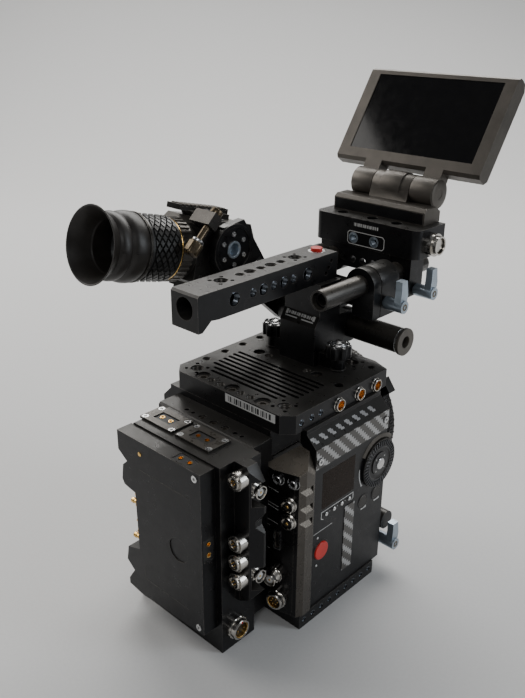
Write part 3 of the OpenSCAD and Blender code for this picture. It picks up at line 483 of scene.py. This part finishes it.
shell, inner, gold = bmesh.new(), bmesh.new(), bmesh.new()
for y in (4.7, 27.6, 47):
    m = place((51.3, y, 158), RIGHT)
    lathe(shell, [(5.2, 0), (5.2, 5.4), (4.9, 5.7), (4.7, 5.7), (4.7, 7.2), (4.3, 7.6), (3.9, 7.6),
                  (3.7, 7.2), (3.7, 1.0), (0, 1.0)], m)
    lathe(gold, [(3.66, 7.0), (3.5, 7.0), (3.5, 2.2), (0, 2.2)], m)
    for k in range(5):
        a = math.tau * k / 5
        lathe(gold, [(0, 5.2), (0.42, 5.2), (0.42, 2.2)],
              m @ Matrix.Translation((2 * math.cos(a), 2 * math.sin(a), 0)), 12)
socket(shell, inner, gold, place((51.4, -84, 137.9), REAR), 6.4, 4.8, 6.4, 8, 5)
for i in range(3):
    socket(shell, inner, gold, place((51.2, -84, 91 - 14.9 * i), REAR), 6.2, 4.8, 6.4, 8, 4)
for z in (104.4, 91):
    socket(shell, inner, gold, on_slant(59.4, z), 5.8, 4.9, 1.6, 4.6, 1, False)
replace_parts(piece("socket_shells", shell, "nickel_fittings"), "round_sockets")
piece("socket_inserts", inner, "black_plastic")
piece("socket_contacts", gold, "gold_contacts")

shell, inner, gold = bmesh.new(), bmesh.new(), bmesh.new()
for m, nut_h, length in ((on_slant(50, 44), 3, 10), (place((50, -76.2, 128), RIGHT), 5.5, 11.5),
                         (place((50, -76.2, 63), RIGHT), 5.5, 11.5)):
    prism(shell, toothed(6.4, 6.0, 40), 0, nut_h, m, 0.3)
    steps = [(5.2, nut_h - 0.2)]
    z = nut_h
    while z < length - 3.2:
        steps += [(4.85, z + 0.3), (4.5, z + 0.6)]
        z += 0.6
    steps += [(4.8, z + 0.2), (4.8, length - 0.4), (4.5, length), (4.0, length), (3.9, length - 0.4),
              (3.9, length - 6), (0, length - 6)]
    lathe(shell, steps, m, 40)
    for s in (0, math.pi):
        lathe(shell, [(0, 6.1), (0.9, 6.1), (1.0, 5.8), (1.0, 4)],
              m @ Matrix.Translation((0, 0, length - 2.4)) @ Matrix.Rotation(s, 4, "Z")
              @ Matrix.Rotation(math.pi / 2, 4, "Y"), 16)
    lathe(inner, [(0, length - 6), (2.6, length - 6), (2.6, length - 1.2), (2.3, length - 0.9),
                  (0.9, length - 0.9), (0.9, length - 3)], m, 28)
    lathe(gold, [(0.8, length - 3), (0.8, length - 1.1), (0.5, length - 0.7), (0, length - 0.7)], m, 16)
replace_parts(piece("coaxial_shells", shell, "nickel_fittings"), "bnc_sockets")
piece("coaxial_inserts", inner, "black_plastic", mat=MAT_WHITE)
piece("coaxial_pins", gold, "gold_contacts")

shell, inner, gold = bmesh.new(), bmesh.new(), bmesh.new()
POWER_INPUT = place((44.8, -84.6, 17.2), RIGHT)
for m, pins in ((on_slant(52.4, 24.1), 6), (POWER_INPUT, 2)):
    big = 8.6 if pins == 2 else 7.6
    nose = big - 1.2
    prism(shell, toothed(big, big - 0.5, 36), 0, 3.6, m, 0.35)
    lathe(shell, [(nose, 3.2), (nose, 6.6), (nose - 0.6, 7.2), (nose - 1.4, 7.2), (nose - 1.6, 6.8),
                  (nose - 1.6, 3.8), (0, 3.8)], m)
    lathe(gold, [(nose - 1.62, 6.9), (nose - 2.0, 6.7), (nose - 2.0, 3.9)], m)
    lathe(inner, [(0, 3.8), (nose - 2.1, 3.8), (nose - 2.1, 4.4), (0, 4.4)], m, 32)
    for k in range(pins):
        a = math.tau * k / pins
        reach = nose * 0.38
        lathe(gold, [(0, 6.4), (0.5, 6.2), (0.6, 4.4)],
              m @ Matrix.Translation((reach * math.cos(a), reach * math.sin(a), 0)), 12)
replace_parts(piece("power_shells", shell, "nickel_fittings"), "power_sockets")
piece("power_inserts", inner, "black_plastic")
piece("power_contacts", gold, "gold_contacts")
bm = bmesh.new()
lathe(bm, [(0, 7.4), (0.8, 7.3), (0.9, 6.9)], POWER_INPUT @ Matrix.Translation((0, 6.4, 0)), 16)
piece("socket_red_dot", bm, "red_plastic")

# ---------------------------------------------------------------- screws
def cap(bm, m, r, height=1.4):
    """Cap screw head with a six-sided recess."""
    lathe(bm, [(r * 0.55, height - 1.1), (r * 0.58, height), (r - 0.25, height), (r, height - 0.25),
               (r, -0.3)], m, 28)
    prism(bm, polygon(r * 0.56, 6), height - 1.3, height - 1.05, m)


bm = bmesh.new()
for x in (-11, 0, 11):
    cap(bm, place((x, -59, 145.2), TOP), 2.7, 1.6)
for x in (-27, -20.5, 20.5, 27):
    cap(bm, place((x, -59, 145.2), TOP), 1.5, 0.9)
piece("expander_screws", bm, "graphite_anodised", mat=MAT["warm_grey_metal"])
bm = bmesh.new()
for x in (-31, -2, 27):
    cap(bm, place((x, -39.4, 162.3), TOP), 3.9, 1.9)
for p in ((-30.9, 18.2), (25.4, 18.2)):
    cap(bm, place((p[0], p[1], 162), TOP), 4.1, 2)
piece("plate_screws", bm, "graphite_anodised", mat=MAT["warm_grey_metal"])
PIVOT_Y, PIVOT_Z = 11.32, 243.037     # the axis the viewfinder tilts on
bm = bmesh.new()
for k in range(6):
    a = math.tau * k / 6
    y, z = PIVOT_Y + 11.35 * math.sin(a), PIVOT_Z + 11.35 * math.cos(a)
    cap(bm, place((-51, y, z), RIGHT), 1.9, 1.2)
piece("arm_screws", bm, "bright_steel", "finder_arm_part")
bm = bmesh.new()
lathe(bm, [(4.55, -5.2), (4.55, 0.3), (4.9, 0.7), (6.3, 0.7), (6.55, 0.3), (6.55, -0.6)],
      place((-50.6, PIVOT_Y, PIVOT_Z), RIGHT))
lathe(bm, [(0, -5), (4.5, -5), (4.5, -4.4), (3.4, -3.8), (3.4, -4.6), (0, -4.6)],
      place((-50.6, PIVOT_Y, PIVOT_Z), RIGHT))
piece("pivot_bush", bm, "bright_steel", "viewfinder", MAT["blue_grey_metal"])
for name, body, x, y, z in (("rear_lever_screw", "rear_lever_part", 59.8, 71.5, 211),
                            ("front_lever_screw", "front_lever_part", 59.8, 110, 211.5),
                            ("base_lever_screw", "base_lever_part", 75, 63, 19.5)):
    bm = bmesh.new()
    cap(bm, place((x, y, z), RIGHT), 2.5, 0.3)
    piece(name, bm, "bronze_knob", body)
for side, x in (("right", 31), ("left", -31)):
    name, body = "thumb_cap_" + side, "thumb_screw_%s_part" % side
    bm = bmesh.new()
    lathe(bm, [(6.1, 184.4), (6.1, 185.6), (5.6, 186.2), (4.7, 186.4), (4.5, 186.9), (3.6, 187.4),
               (1.8, 187.7), (0, 187.8)], place((x, 35, 0), TOP))
    # Painted highlights: seven small bright steel domes on the knob's lobes.
    for k in range(7):
        a = math.tau * (k + 0.5) / 7
        lathe(bm, [(1.7, 184.9), (1.7, 185.5), (1.2, 185.8), (0, 185.8)],
              place((x + 7.4 * math.cos(a), 35 + 7.4 * math.sin(a), 0), TOP), 16)
    piece(name, bm, "bright_steel", body)
    bm = bmesh.new()
    lathe(bm, [(5.9, 166.05), (5.9, 167), (5.5, 167.4), (5.1, 167.4)], place((x, 35, 0), TOP))
    piece(name + "_seat", bm, "black_anodised")

# ---------------------------------------------------------------- side controls
SIDE = place((66.82, 0, 0), RIGHT, (0, 1, 0))      # local x, y, z are forward, up and outward
DIAL_Y, DIAL_Z = 41.1, 100.6
bm = bmesh.new()
line(bm, [(-19.8, 81.6), (-22.3, 83), (-22.3, 88.2), (13.2, 88.2), (13.2, 83.6), (11.6, 82.4)], 0.55, SIDE)
for y in (-13.2, -4.6, 4):
    lathe(bm, [(0.35, 0), (0.35, 0.1), (0, 0.1)], SIDE @ Matrix.Translation((y, 85.4, 0)), 12)
for y, z in ((27, 68.2), (43.1, 68.2)):
    block(bm, (y - 3.1, z - 0.8, 0), (y + 3.1, z + 0.8, 0.25), SIDE, 0.15)
arc = [(DIAL_Y + 21.8 * math.cos(math.radians(a)), DIAL_Z + 21.8 * math.sin(math.radians(a)))
       for a in range(172, 216, 4)]
line(bm, arc, 0.7, SIDE)
lathe(bm, [(0.8, 0), (0.8, 0.1), (0, 0.1)], SIDE @ Matrix.Translation((*arc[-1], 0)), 12)
for k in range(9):
    a = math.radians(-38 + 9 * k)
    lathe(bm, [(0.45, 0), (0.45, 0.1), (0, 0.1)],
          SIDE @ Matrix.Translation((DIAL_Y + 21.6 * math.cos(a) * 0.44, DIAL_Z + 21.6 * math.sin(a), 0)),
          10)
line(bm, [(-30, 73.5), (-9.5, 73.5)], 0.4, SIDE)
for y, z in ((-25.5, 69), (-25.8, 45.6)):
    lathe(bm, [(0.9, 0), (0.9, 0.3), (0.6, 0.5), (0, 0.55)], SIDE @ Matrix.Translation((y, z, 0)), 16)
piece("control_marks", bm, "bright_steel", mat=MAT_WHITE)

bm = bmesh.new()
lathe(bm, [(19.4, 0), (19.4, 0.5), (20.4, 1.1), (22.8, 0.45), (23.2, 0)],
      place((66.75, DIAL_Y, DIAL_Z), RIGHT, (0, 1, 0)), 40, math.radians(48), math.radians(100))
piece("dial_shoulder", bm, "warm_grey_metal")
bm = bmesh.new()
for k in range(40):
    a = math.tau * k / 40
    m = place((68.9, DIAL_Y, DIAL_Z), RIGHT, (0, 1, 0)) @ Matrix.Rotation(a, 4, "Z")
    block(bm, (14.1, -0.45, -0.2), (18.2, 0.45, 0.55), m, 0.18)
lathe(bm, [(12.9, -0.1), (12.9, 0.25), (13.3, 0.25), (13.3, -0.1)], place((68.9, DIAL_Y, DIAL_Z), RIGHT), 48)
piece("dial_ribs", bm, "black_anodised", "dial_ring_part", MAT_SHEEN)
bm = bmesh.new()
m = place((69.3, DIAL_Y, DIAL_Z), RIGHT, (0, 1, 0))
lathe(bm, [(4.4, -0.2), (4.4, 0.5), (4.0, 0.9), (2.4, 1.15), (0, 1.2)], m, 36)
for k in range(4):
    a = math.tau * (k + 0.5) / 4
    prism(bm, [(0.8, 0), (-0.5, 0.7), (-0.5, -0.7)], 0, 0.15,
          m @ Matrix.Translation((6.9 * math.cos(a), 6.9 * math.sin(a), 0)) @ Matrix.Rotation(a, 4, "Z"))
piece("dial_centre", bm, "bright_steel", "dial_button_part")
for k in range(4):
    bm = bmesh.new()
    lathe(bm, [(1.6, -0.1), (1.6, 0.1), (1.3, 0.35), (0, 0.45)],
          place((67.6, -17.5 + 8.6 * k, 85.4), RIGHT), 24)
    piece("soft_key_cap_%d" % (k + 1), bm, "bright_steel", "soft_key_%d_part" % (k + 1))
bm = bmesh.new()
for y in (26, 42.1):
    lathe(bm, [(4.6, 0), (4.6, 0.35), (5.0, 0.5), (5.7, 0.4), (6.0, 0)], place((66.8, y, 74.2), RIGHT), 40)
lathe(bm, [(7.1, 0), (7.1, 0.3), (7.5, 0.45), (8.2, 0.3), (8.4, 0)], place((66.8, -21.5, 56.9), RIGHT), 48)
piece("button_rims", bm, "black_anodised")
bm = bmesh.new()
lathe(bm, [(4.35, -0.3), (4.35, 0.25), (5.2, 0.45), (6.2, 0.3), (6.35, -0.2)],
      place((0, 44.1, 246.0), TOP), 40)
piece("handle_button_ring", bm, "bright_steel")

# ---------------------------------------------------------------- woven motifs along the shoulder
bm = bmesh.new()
shoulder = place((62.68, 0, 145.3), (1, 0, 1), (0, 1, 0))
for k in range(8):
    y0 = -30.4 + 8.9 * k
    for col, row in ((0, 1), (1, 1), (0.6, 0), (1.6, 0), (1.6, 0.4), (2.4, -1), (1.4, -1)):
        block(bm, (y0 + 1.75 * col, 1.6 * row - 0.8, -0.02), (y0 + 1.75 * col + 1.75, 1.6 * row + 0.8, 0.12),
              shoulder)
piece("shoulder_motifs", bm, "bright_steel", mat=MAT_SILVER_PRINT)

# ---------------------------------------------------------------- plain labels
def label(name, m, width, height, body="camera", blank=True):
    """Plain stripes of uneven width and no lettering, on a pale plate if it is blank."""
    bm = bmesh.new()
    if blank:
        block(bm, (-width / 2, -height / 2, 0), (width / 2, height / 2, 0.12), m)
        piece(name, bm, "bright_steel", body, MAT_WHITE)
        bm = bmesh.new()
    x = -width / 2 + width * 0.06
    k = 0
    while x < width / 2 - width * 0.08:
        w = (0.5, 1.1, 0.35, 0.8, 1.5)[k % 5] * width / 40
        block(bm, (x, -height * 0.34, 0.08), (x + w, height * 0.34, 0.16), m)
        x += w + (0.9, 0.6, 1.4, 0.7)[k % 4] * width / 40
        k += 1
    piece(name + "_bars", bm, "black_plastic", body, MAT["black_plastic"] if blank else MAT_WHITE)


label("rear_label", place((22, -46.82, 162), REAR, (1, 0, 0)), 46, 6.2)
slope = place((0, 28.6, 201.3), (0, -0.848, 0.53), (1, 0, 0))
label("tower_label", slope, 27, 3.4, blank=False)
bm = bmesh.new()
for x in (-13.6, 11.6):
    block(bm, (x, -1.8, 0.02), (x + 2, 1.8, 0.14), slope)
line(bm, [(-13.4, -3.0), (-2, -3.0)], 0.8, slope)
line(bm, [(2, -3.0), (13, -3.0)], 0.8, slope)
piece("tower_label_line", bm, "bright_steel", mat=MAT_WHITE)
label("bracket_label", place((2, 99.98, 253.4), REAR, (1, 0, 0)), 26, 3.6, "rod_bracket", False)
label("base_label", place((-24, -43.32, 6), REAR, (1, 0, 0)), 26, 3.4, blank=False)
bm = bmesh.new()
m = place((0, 99.98, 242.8), REAR, (1, 0, 0))
line(bm, [(-15, 3.4), (-13.4, 5), (17.4, 5), (19, 3.4), (19, -3.4), (17.4, -5), (-13.4, -5), (-15, -3.4),
          (-15, 3.4)], 0.5, m)
piece("bracket_outline", bm, "bright_steel", "rod_bracket", MAT_WHITE)
bm = bmesh.new()
m = place((0, -50.02, 0), REAR, (1, 0, 0))
for low, high in ((100.5, 111.5), (86.5, 97.5)):
    line(bm, [(52, high), (41, high + 0.6), (40.4, high), (40.4, low + 0.6), (41, low), (52, low - 0.4)],
         0.35, m)
line(bm, [(44.8, 82), (40.8, 82), (40.2, 81.4), (40.2, 63.2), (40.8, 62.6), (44.8, 62.6)], 0.35, m)
for x in (50.8, 62):
    line(bm, [(4.4 * math.cos(math.radians(a)), 4.4 * math.sin(math.radians(a)))
              for a in range(150, 395, 15)], 0.35, on_slant(x, 121))
piece("port_outlines", bm, "bright_steel", mat=MAT_WHITE)
bm = bmesh.new()
for x in (50.8, 62):
    lathe(bm, [(3.2, 1.8), (3.2, 2.3), (2.8, 2.7), (2.0, 2.7), (1.7, 2.2), (1.7, -2)], on_slant(x, 121), 28)
piece("jack_lips", bm, "bright_steel")
bm = bmesh.new()
m = on_slant(50.8, 72.6)
block(bm, (-1.1, -5.2, -3), (1.1, 5.2, 0.2), m, 0.2)
piece("port_tongue", bm, "gold_contacts", mat=MAT["graphite_anodised"])

# ---------------------------------------------------------------- power tap pins and battery side
SLEEVE = [(1.75, -2.4), (1.75, 0.35), (1.2, 0.35), (1.2, -2.2), (0, -2.2)]
bm = bmesh.new()
for c in (-24.6, 11.4):
    for s in (-1, 1):
        lathe(bm, SLEEVE, place((c + 4.2 * s, -79.5, 148.5), TOP), 20)
for s in (-1, 1):
    lathe(bm, SLEEVE, place((20.4 + 4.2 * s, -102.6, 145.6), TOP), 20)
    lathe(bm, SLEEVE, place((39.9, -102.6, 88 + 4.2 * s), RIGHT), 20)
piece("tap_sleeves", bm, "gold_contacts")
bm = bmesh.new()
lathe(bm, [(0, -0.2), (1.6, -0.2), (1.6, 0.3), (1.2, 0.6), (0, 0.7)], place((-18, -108.6, 136.6), REAR), 24)
for z in (92.6, 63.6):
    lathe(bm, [(0, 0), (1.5, 0), (1.5, 5.2), (1.9, 5.5), (1.9, 7.6), (1.4, 8.2), (0, 8.4)],
          place((-25.6, -105.4, z), (-1, 0, 0)), 24)
piece("battery_dot", bm, "gold_contacts")
bm = bmesh.new()
m = place((0, -108.62, 0), REAR, (1, 0, 0))
line(bm, [(-20, 124), (29, 124)], 0.35, m)
line(bm, [(-20, 46), (-20, 34), (26, 34)], 0.35, m)
piece("battery_grooves", bm, "graphite_anodised")

# ---------------------------------------------------------------- tube and rod ends
bm = bmesh.new()
for x in (58.6, 59.6):
    lathe(bm, [(9.45, 0), (9.62, 0.15), (9.62, 0.4), (9.45, 0.55)], place((x, 72, 185.2), RIGHT), 56)
piece("tube_rings", bm, "bright_steel")
bm = bmesh.new()
for s in (-1, 1):
    lathe(bm, [(5.9, 3.4), (5.9, 3.8), (4.2, 3.8), (4.2, 9), (0, 9)],
          place((30 * s, 11.7, 223.8), (0, 1, 0)), 32)
piece("rod_inner_caps", bm, "black_anodised")

# ---------------------------------------------------------------- viewfinder
TILT = math.radians(-13.8)
FINDER = Matrix.Translation((-80, 18, 234.6)) @ Matrix.Rotation(TILT, 4, "X")
EYE = FINDER @ place((0, 0, 0), REAR, (1, 0, 0))     # local +Z towards the eye


def smooth_curve(points, steps=5):
    """Rounds a list of (radius, height) points with a passing spline."""
    out = []
    for i in range(len(points) - 1):
        p0, p1 = points[max(i - 1, 0)], points[i]
        p2, p3 = points[i + 1], points[min(i + 2, len(points) - 1)]
        for k in range(steps):
            t = k / steps
            out.append(tuple(0.5 * (2 * b + (c - a) * t + (2 * a - 5 * b + 4 * c - d) * t * t
                                    + (3 * b - a - 3 * c + d) * t ** 3)
                             for a, b, c, d in zip(p0, p1, p2, p3)))
    return out + [points[-1]]


bm = bmesh.new()
outer = smooth_curve([(23.9, 81.4), (24.6, 84), (24.7, 87.5), (24.0, 91.5), (22.2, 94.4)])
outer += smooth_curve([(22.1, 94.7), (23.3, 96.4), (23.6, 99.4), (22.9, 102.4), (21.4, 104.2)])
outer += smooth_curve([(21.3, 104.5), (22.6, 106.4), (24.2, 109), (26.5, 112.8)])
outer += [(26.8, 113.2), (26.6, 113.5), (26.0, 113.5)]
outer += smooth_curve([(25.6, 113.1), (23.0, 108.6), (21.2, 104.8), (19.8, 101.4), (18.6, 98.6)])
outer += smooth_curve([(17.9, 98), (17.6, 94), (17.7, 88), (17.8, 82.4)])
lathe(bm, outer + [(23.9, 81.4)], EYE, 96)
for s in (0, 1):
    for low, high, r in ((84, 93.4, 24.4), (96.2, 103.2, 23.3)):
        block(bm, (r - 0.4, -0.18, low), (r + 0.28, 0.18, high), EYE @ Matrix.Rotation(s * math.pi, 4, "Z"))
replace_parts(piece("eyecup_bellows", bm, "soft_rubber", "viewfinder", MAT_CUP, 50), "eyecup")
bm = bmesh.new()
lathe(bm, [(20.5, 79.2), (24.3, 79.2), (24.5, 79.5), (24.5, 80.0), (24.1, 80.2), (24.1, 80.6),
           (24.5, 80.8), (24.5, 81.2), (20.5, 81.4)], EYE, 96)
piece("cup_ring", bm, "graphite_anodised", "viewfinder")
bm = bmesh.new()
lathe(bm, [(17.5, 83), (16.2, 81), (14.5, 79.8), (14.2, 77.4), (17.8, 77.2)], EYE, 64)
piece("lens_seat", bm, "black_plastic", "viewfinder")

bm = bmesh.new()
lathe(bm, [(21.2, 78.6), (22.9, 78.6), (23.3, 78.2), (23.3, 76.8), (22.3, 76.4), (22.3, 54.6), (23.4, 54.2),
           (23.4, 52.8), (22.8, 52.3), (21.2, 52.3)], EYE, 96)
AROUND, ROWS, LOW, HIGH = 20, 8, 54.9, 76.1
for i in range(2 * AROUND):
    for j in range(ROWS + 1):
        if (i + j) % 2:
            continue
        a0, z0 = math.tau * i / (2 * AROUND), LOW + (HIGH - LOW) * j / ROWS
        da, dz = math.tau / (2 * AROUND), (HIGH - LOW) / ROWS
        rings = []
        for scale, r in ((0.92, 22.2), (0.66, 23.8)):
            ring = []
            for u, v in ((1, 0), (0, 1), (-1, 0), (0, -1)):
                a, z = a0 + u * da * scale, min(HIGH, max(LOW, z0 + v * dz * scale))
                ring.append(bm.verts.new(EYE @ Vector((r * math.cos(a), r * math.sin(a), z))))
            rings.append(ring)
        for k in range(4):
            bm.faces.new((rings[0][k], rings[0][(k + 1) % 4], rings[1][(k + 1) % 4], rings[1][k]))
        bm.faces.new(rings[1])
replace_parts(piece("focus_ring_knurl", bm, "soft_rubber", "focus_ring_part", MAT_KNURL, 25), "focus_ring")
bm = bmesh.new()
lathe(bm, [(20, 50.9), (22.9, 50.9), (23.0, 51.1), (23.0, 51.7), (22.8, 51.9), (20, 51.9)], EYE, 96)
piece("gold_ring", bm, "gold_contacts", "viewfinder")
bm = bmesh.new()
teeth = []
for i in range(36):
    for r, part in ((23.4, 0.08), (23.4, 0.42), (22.3, 0.55), (22.3, 0.95)):
        a = math.tau * (i + part) / 36
        teeth.append((r * math.cos(a), r * math.sin(a)))
prism(bm, teeth, 41.5, 50.7, EYE, 0.5)
piece("scale_ring", bm, "graphite_anodised", "viewfinder", MAT["warm_grey_metal"])
bm = bmesh.new()
lathe(bm, [(3.4, 0), (3.4, 1), (2.9, 1.6), (2.4, 6.2), (1.9, 6.9), (0, 7.1)],
      FINDER @ place((11, -24, 24.8), TOP), 28)
lathe(bm, [(2.2, 0), (2.2, 0.8), (1.7, 1.2), (0, 1.3)], FINDER @ place((15, -12, 24.9), TOP), 20)
piece("finder_stub", bm, "black_plastic", "viewfinder")
bm = bmesh.new()
KNOB = FINDER @ Matrix.Translation((31, -41, 21)) @ Matrix.Rotation(math.radians(-33), 4, "X")
lathe(bm, [(2.7, -12.6), (4.4, -12.6), (4.6, -12.2), (4.6, -10.9), (4.2, -10.5), (2.7, -10.5)], KNOB, 32)
piece("knob_collar", bm, "bright_steel", "finder_knob_part")
bm = bmesh.new()
for k in range(6):
    a = math.tau * (k + 0.5) / 6
    block(bm, (4.7, -1.9, -21.2), (5.42, 1.9, -13.8), KNOB @ Matrix.Rotation(a, 4, "Z"), 0.0)
piece("knob_flats", bm, "gold_contacts", "finder_knob_part", MAT["bronze_knob"])
bm = bmesh.new()
for k in range(11):
    y = -38.1 + 4 * k
    block(bm, (-11.8, y, 32.4), (1.8, y + 2, 33.2), FINDER, 0.3)
piece("rail_teeth", bm, "warm_grey_metal", "viewfinder")
bm = bmesh.new()
for y, z in ((-30, 18), (-30, -16), (12, -17), (17, 6)):
    cap(bm, FINDER @ place((20.8, y, z), RIGHT), 1.7, 0.5)
    cap(bm, FINDER @ place((-20.8, y, z), (-1, 0, 0)), 1.7, 0.5)
piece("finder_screws", bm, "black_anodised", "viewfinder")

# ---------------------------------------------------------------- sides turned away from the controls
HINGE_Y, HINGE_Z = 141, 277.3
MONITOR = Matrix.Translation((0, HINGE_Y, HINGE_Z)) @ Matrix.Rotation(math.radians(-34), 4, "X")
BACK = MONITOR @ place((0, 9.5, 56), (0, 1, 0), (1, 0, 0))
bm, dark = bmesh.new(), bmesh.new()
prism(bm, [(-54, -26), (-46, -33), (46, -33), (54, -26), (54, 26), (46, 33), (-46, 33), (-54, 26)],
      -0.2, 1.3, BACK, 1.0)
block(bm, (-18, -14, 1), (18, 14, 2.1), BACK, 0.6)
for x in (-48, 48):
    for y in (-26, 26):
        cap(dark, BACK @ Matrix.Translation((x, y, 1.2)), 1.9, 0.7)
for x in (-13, 13):
    for y in (-9, 9):
        cap(dark, BACK @ Matrix.Translation((x, y, 2)), 1.6, 0.6)
for k in range(7):
    for s in (-1, 1):
        block(dark, (s * 33 - 8, -15 + 5 * k, 1.25), (s * 33 + 8, -13.4 + 5 * k, 1.4), BACK, 0.0)
piece("monitor_back", bm, "warm_grey_metal", "monitor")
piece("monitor_back_screws", dark, "black_anodised", "monitor")
LEFT = place((-66.8, 0, 0), (-1, 0, 0), (0, 1, 0))     # local x is forward and y is down
bm, dark = bmesh.new(), bmesh.new()
prism(bm, [(-40, -24), (-34, -18), (52, -18), (58, -24), (58, -118), (52, -124), (-34, -124), (-40, -118)],
      -0.3, 1.0, LEFT, 0.8)
block(bm, (-30, -112, 0.8), (20, -84, 1.7), LEFT, 0.6)
for x, y in ((-35, -23), (53, -23), (53, -119), (-35, -119), (9, -22), (9, -120)):
    cap(dark, LEFT @ Matrix.Translation((x, y, 0.8)), 2.1, 0.8)
for k in range(9):
    block(dark, (28, -112 + 3.4 * k, 0.9), (50, -110.4 + 3.4 * k, 1.1), LEFT, 0.0)
piece("left_cover", bm, "black_anodised")
piece("left_cover_screws", dark, "graphite_anodised")
bm = bmesh.new()
front = FINDER @ place((0, 24, -3), (0, 1, 0), (1, 0, 0))
block(bm, (-19, -9.5, -0.2), (19, 9.5, 0.9), front, 0.8)
for x in (-16, 16):
    for y in (-6.6, 6.6):
        cap(bm, front @ Matrix.Translation((x, y, 0.8)), 1.4, 0.6)
piece("finder_front_cover", bm, "black_anodised", "viewfinder")
bm = bmesh.new()
thread(bm, WIDE_R, 8, WIDE_PITCH, place((0, 0, 0.2), (0, 0, -1)))
for y in (-19.05, 19.05):
    thread(bm, QUARTER_R, 8, QUARTER_PITCH, place((0, y, 0.2), (0, 0, -1)))
piece("base_threads", bm, "bright_steel", mat=MAT_THREAD, sharp=60)

# ---------------------------------------------------------------- lens collar grip and hinge
bm = bmesh.new()
for k in range(132):
    a = math.tau * k / 132
    m = place((0, 0, 109), (0, 1, 0), (1, 0, 0)) @ Matrix.Rotation(a, 4, "Z")
    for row in range(4):
        block(bm, (54.5, -0.75, 71.5 + 1.8 * row + 0.6 * (k % 2)),
              (55.35, 0.75, 72.5 + 1.8 * row + 0.6 * (k % 2)), m, 0.2)
piece("collar_knurl", bm, "black_anodised", "mount_collar_part")
bm = bmesh.new()
for s in (-1, 1):
    lathe(bm, [(10.2, -0.1), (10.2, 0.35), (9.6, 0.6), (4, 0.6), (3.6, 0.3), (0, 0.3)],
          place((37.0 * s, HINGE_Y, HINGE_Z), (s, 0, 0)), 48)
piece("barrel_ends", bm, "warm_grey_metal", "monitor")
bm = bmesh.new()
m = place((0, 115.68, 0), REAR, (1, 0, 0))
block(bm, (-41, 258.7, 0), (41, 267, 0.25), m, 0.2)
piece("hinge_face", bm, "black_anodised", "rod_bracket")

# ---------------------------------------------------------------- stage, light, camera
def stage_floor():
    """A pale floor that curves up into a backdrop."""
    mat, tree, shader = new_material("pale_floor")
    pos = coords(tree)
    grain = noise(tree, pos, 0.4, 4)
    tree.links.new(mix_colour(tree, grain, (0.60, 0.60, 0.60), (0.66, 0.66, 0.655)),
                   shader.inputs["Base Color"])
    shader.inputs["Roughness"].default_value = 0.7
    bm = bmesh.new()
    flat, bend = 1.1, 1.2     # metres: where the curve starts, and its radius
    section = [(-2.5, 0.0), (flat, 0.0)]
    section += [(flat + bend * math.sin(math.radians(t)), bend - bend * math.cos(math.radians(t)))
                for t in range(6, 91, 6)]
    section += [(2.3, 3.2)]
    away = Vector((-math.sin(math.radians(43.2)), math.cos(math.radians(43.2)), 0))
    side = Vector((away.y, -away.x, 0))
    rows = [[bm.verts.new(away * u + side * v + Vector((0, 0, w))) for u, w in section] for v in (-4, 4)]
    for k in range(len(section) - 1):
        bm.faces.new((rows[0][k], rows[1][k], rows[1][k + 1], rows[0][k + 1]))
    for face in bm.faces:
        face.smooth = True
    mesh = bpy.data.meshes.new("floor")
    bm.to_mesh(mesh)
    obj = bpy.data.objects.new("floor", mesh)
    bpy.context.scene.collection.objects.link(obj)
    mesh.materials.append(mat)


def area_light(name, at, aim, size, watts, tint=(1, 1, 1)):
    data = bpy.data.lights.new(name, "AREA")
    data.shape = "RECTANGLE"
    data.size, data.size_y = size
    data.energy = watts
    data.color = tint
    obj = bpy.data.objects.new(name, data)
    bpy.context.scene.collection.objects.link(obj)
    obj.location = at
    obj.rotation_euler = (Vector(aim) - Vector(at)).to_track_quat("-Z", "Y").to_euler()


stage_floor()
area_light("back_top", (-0.9, 1.15, 1.5), (0, 0, 0.1), (2.2, 1.0), 46, (1, 0.985, 0.96))
area_light("left_window", (-1.5, -0.5, 1.1), (0, 0, 0.15), (1.0, 1.2), 15, (1, 0.97, 0.93))
area_light("right_strip", (1.35, 0.75, 0.75), (0, 0, 0.12), (0.5, 1.1), 9, (0.88, 0.94, 1))
area_light("front", (0.9, -1.2, 1.5), (0, 0, 0.12), (0.8, 0.5), 5)
world = bpy.data.worlds.new("studio")
bpy.context.scene.world = world
world.use_nodes = True
world.node_tree.nodes["Background"].inputs["Color"].default_value = (0.86, 0.88, 0.9, 1)
world.node_tree.nodes["Background"].inputs["Strength"].default_value = 0.17

camera_data = bpy.data.cameras.new("camera")
camera_data.lens = 40.56
camera_data.clip_start = 0.01
camera = bpy.data.objects.new("camera", camera_data)
bpy.context.scene.collection.objects.link(camera)
CAMERA_AT = (0.34375, -0.37699, 0.40599)
AZIMUTH, ELEVATION, ROLL = math.radians(43.234), math.radians(23.594), 0.008
back = Vector((math.sin(AZIMUTH) * math.cos(ELEVATION),
               -math.cos(AZIMUTH) * math.cos(ELEVATION), math.sin(ELEVATION)))
right = Vector((math.cos(AZIMUTH), math.sin(AZIMUTH), 0))
up = back.cross(right)
turn = Matrix.Rotation(ROLL, 3, back)
axes = Matrix((turn @ right, turn @ up, back)).transposed()
camera.matrix_world = Matrix.Translation(CAMERA_AT) @ axes.to_4x4()
bpy.context.scene.camera = camera
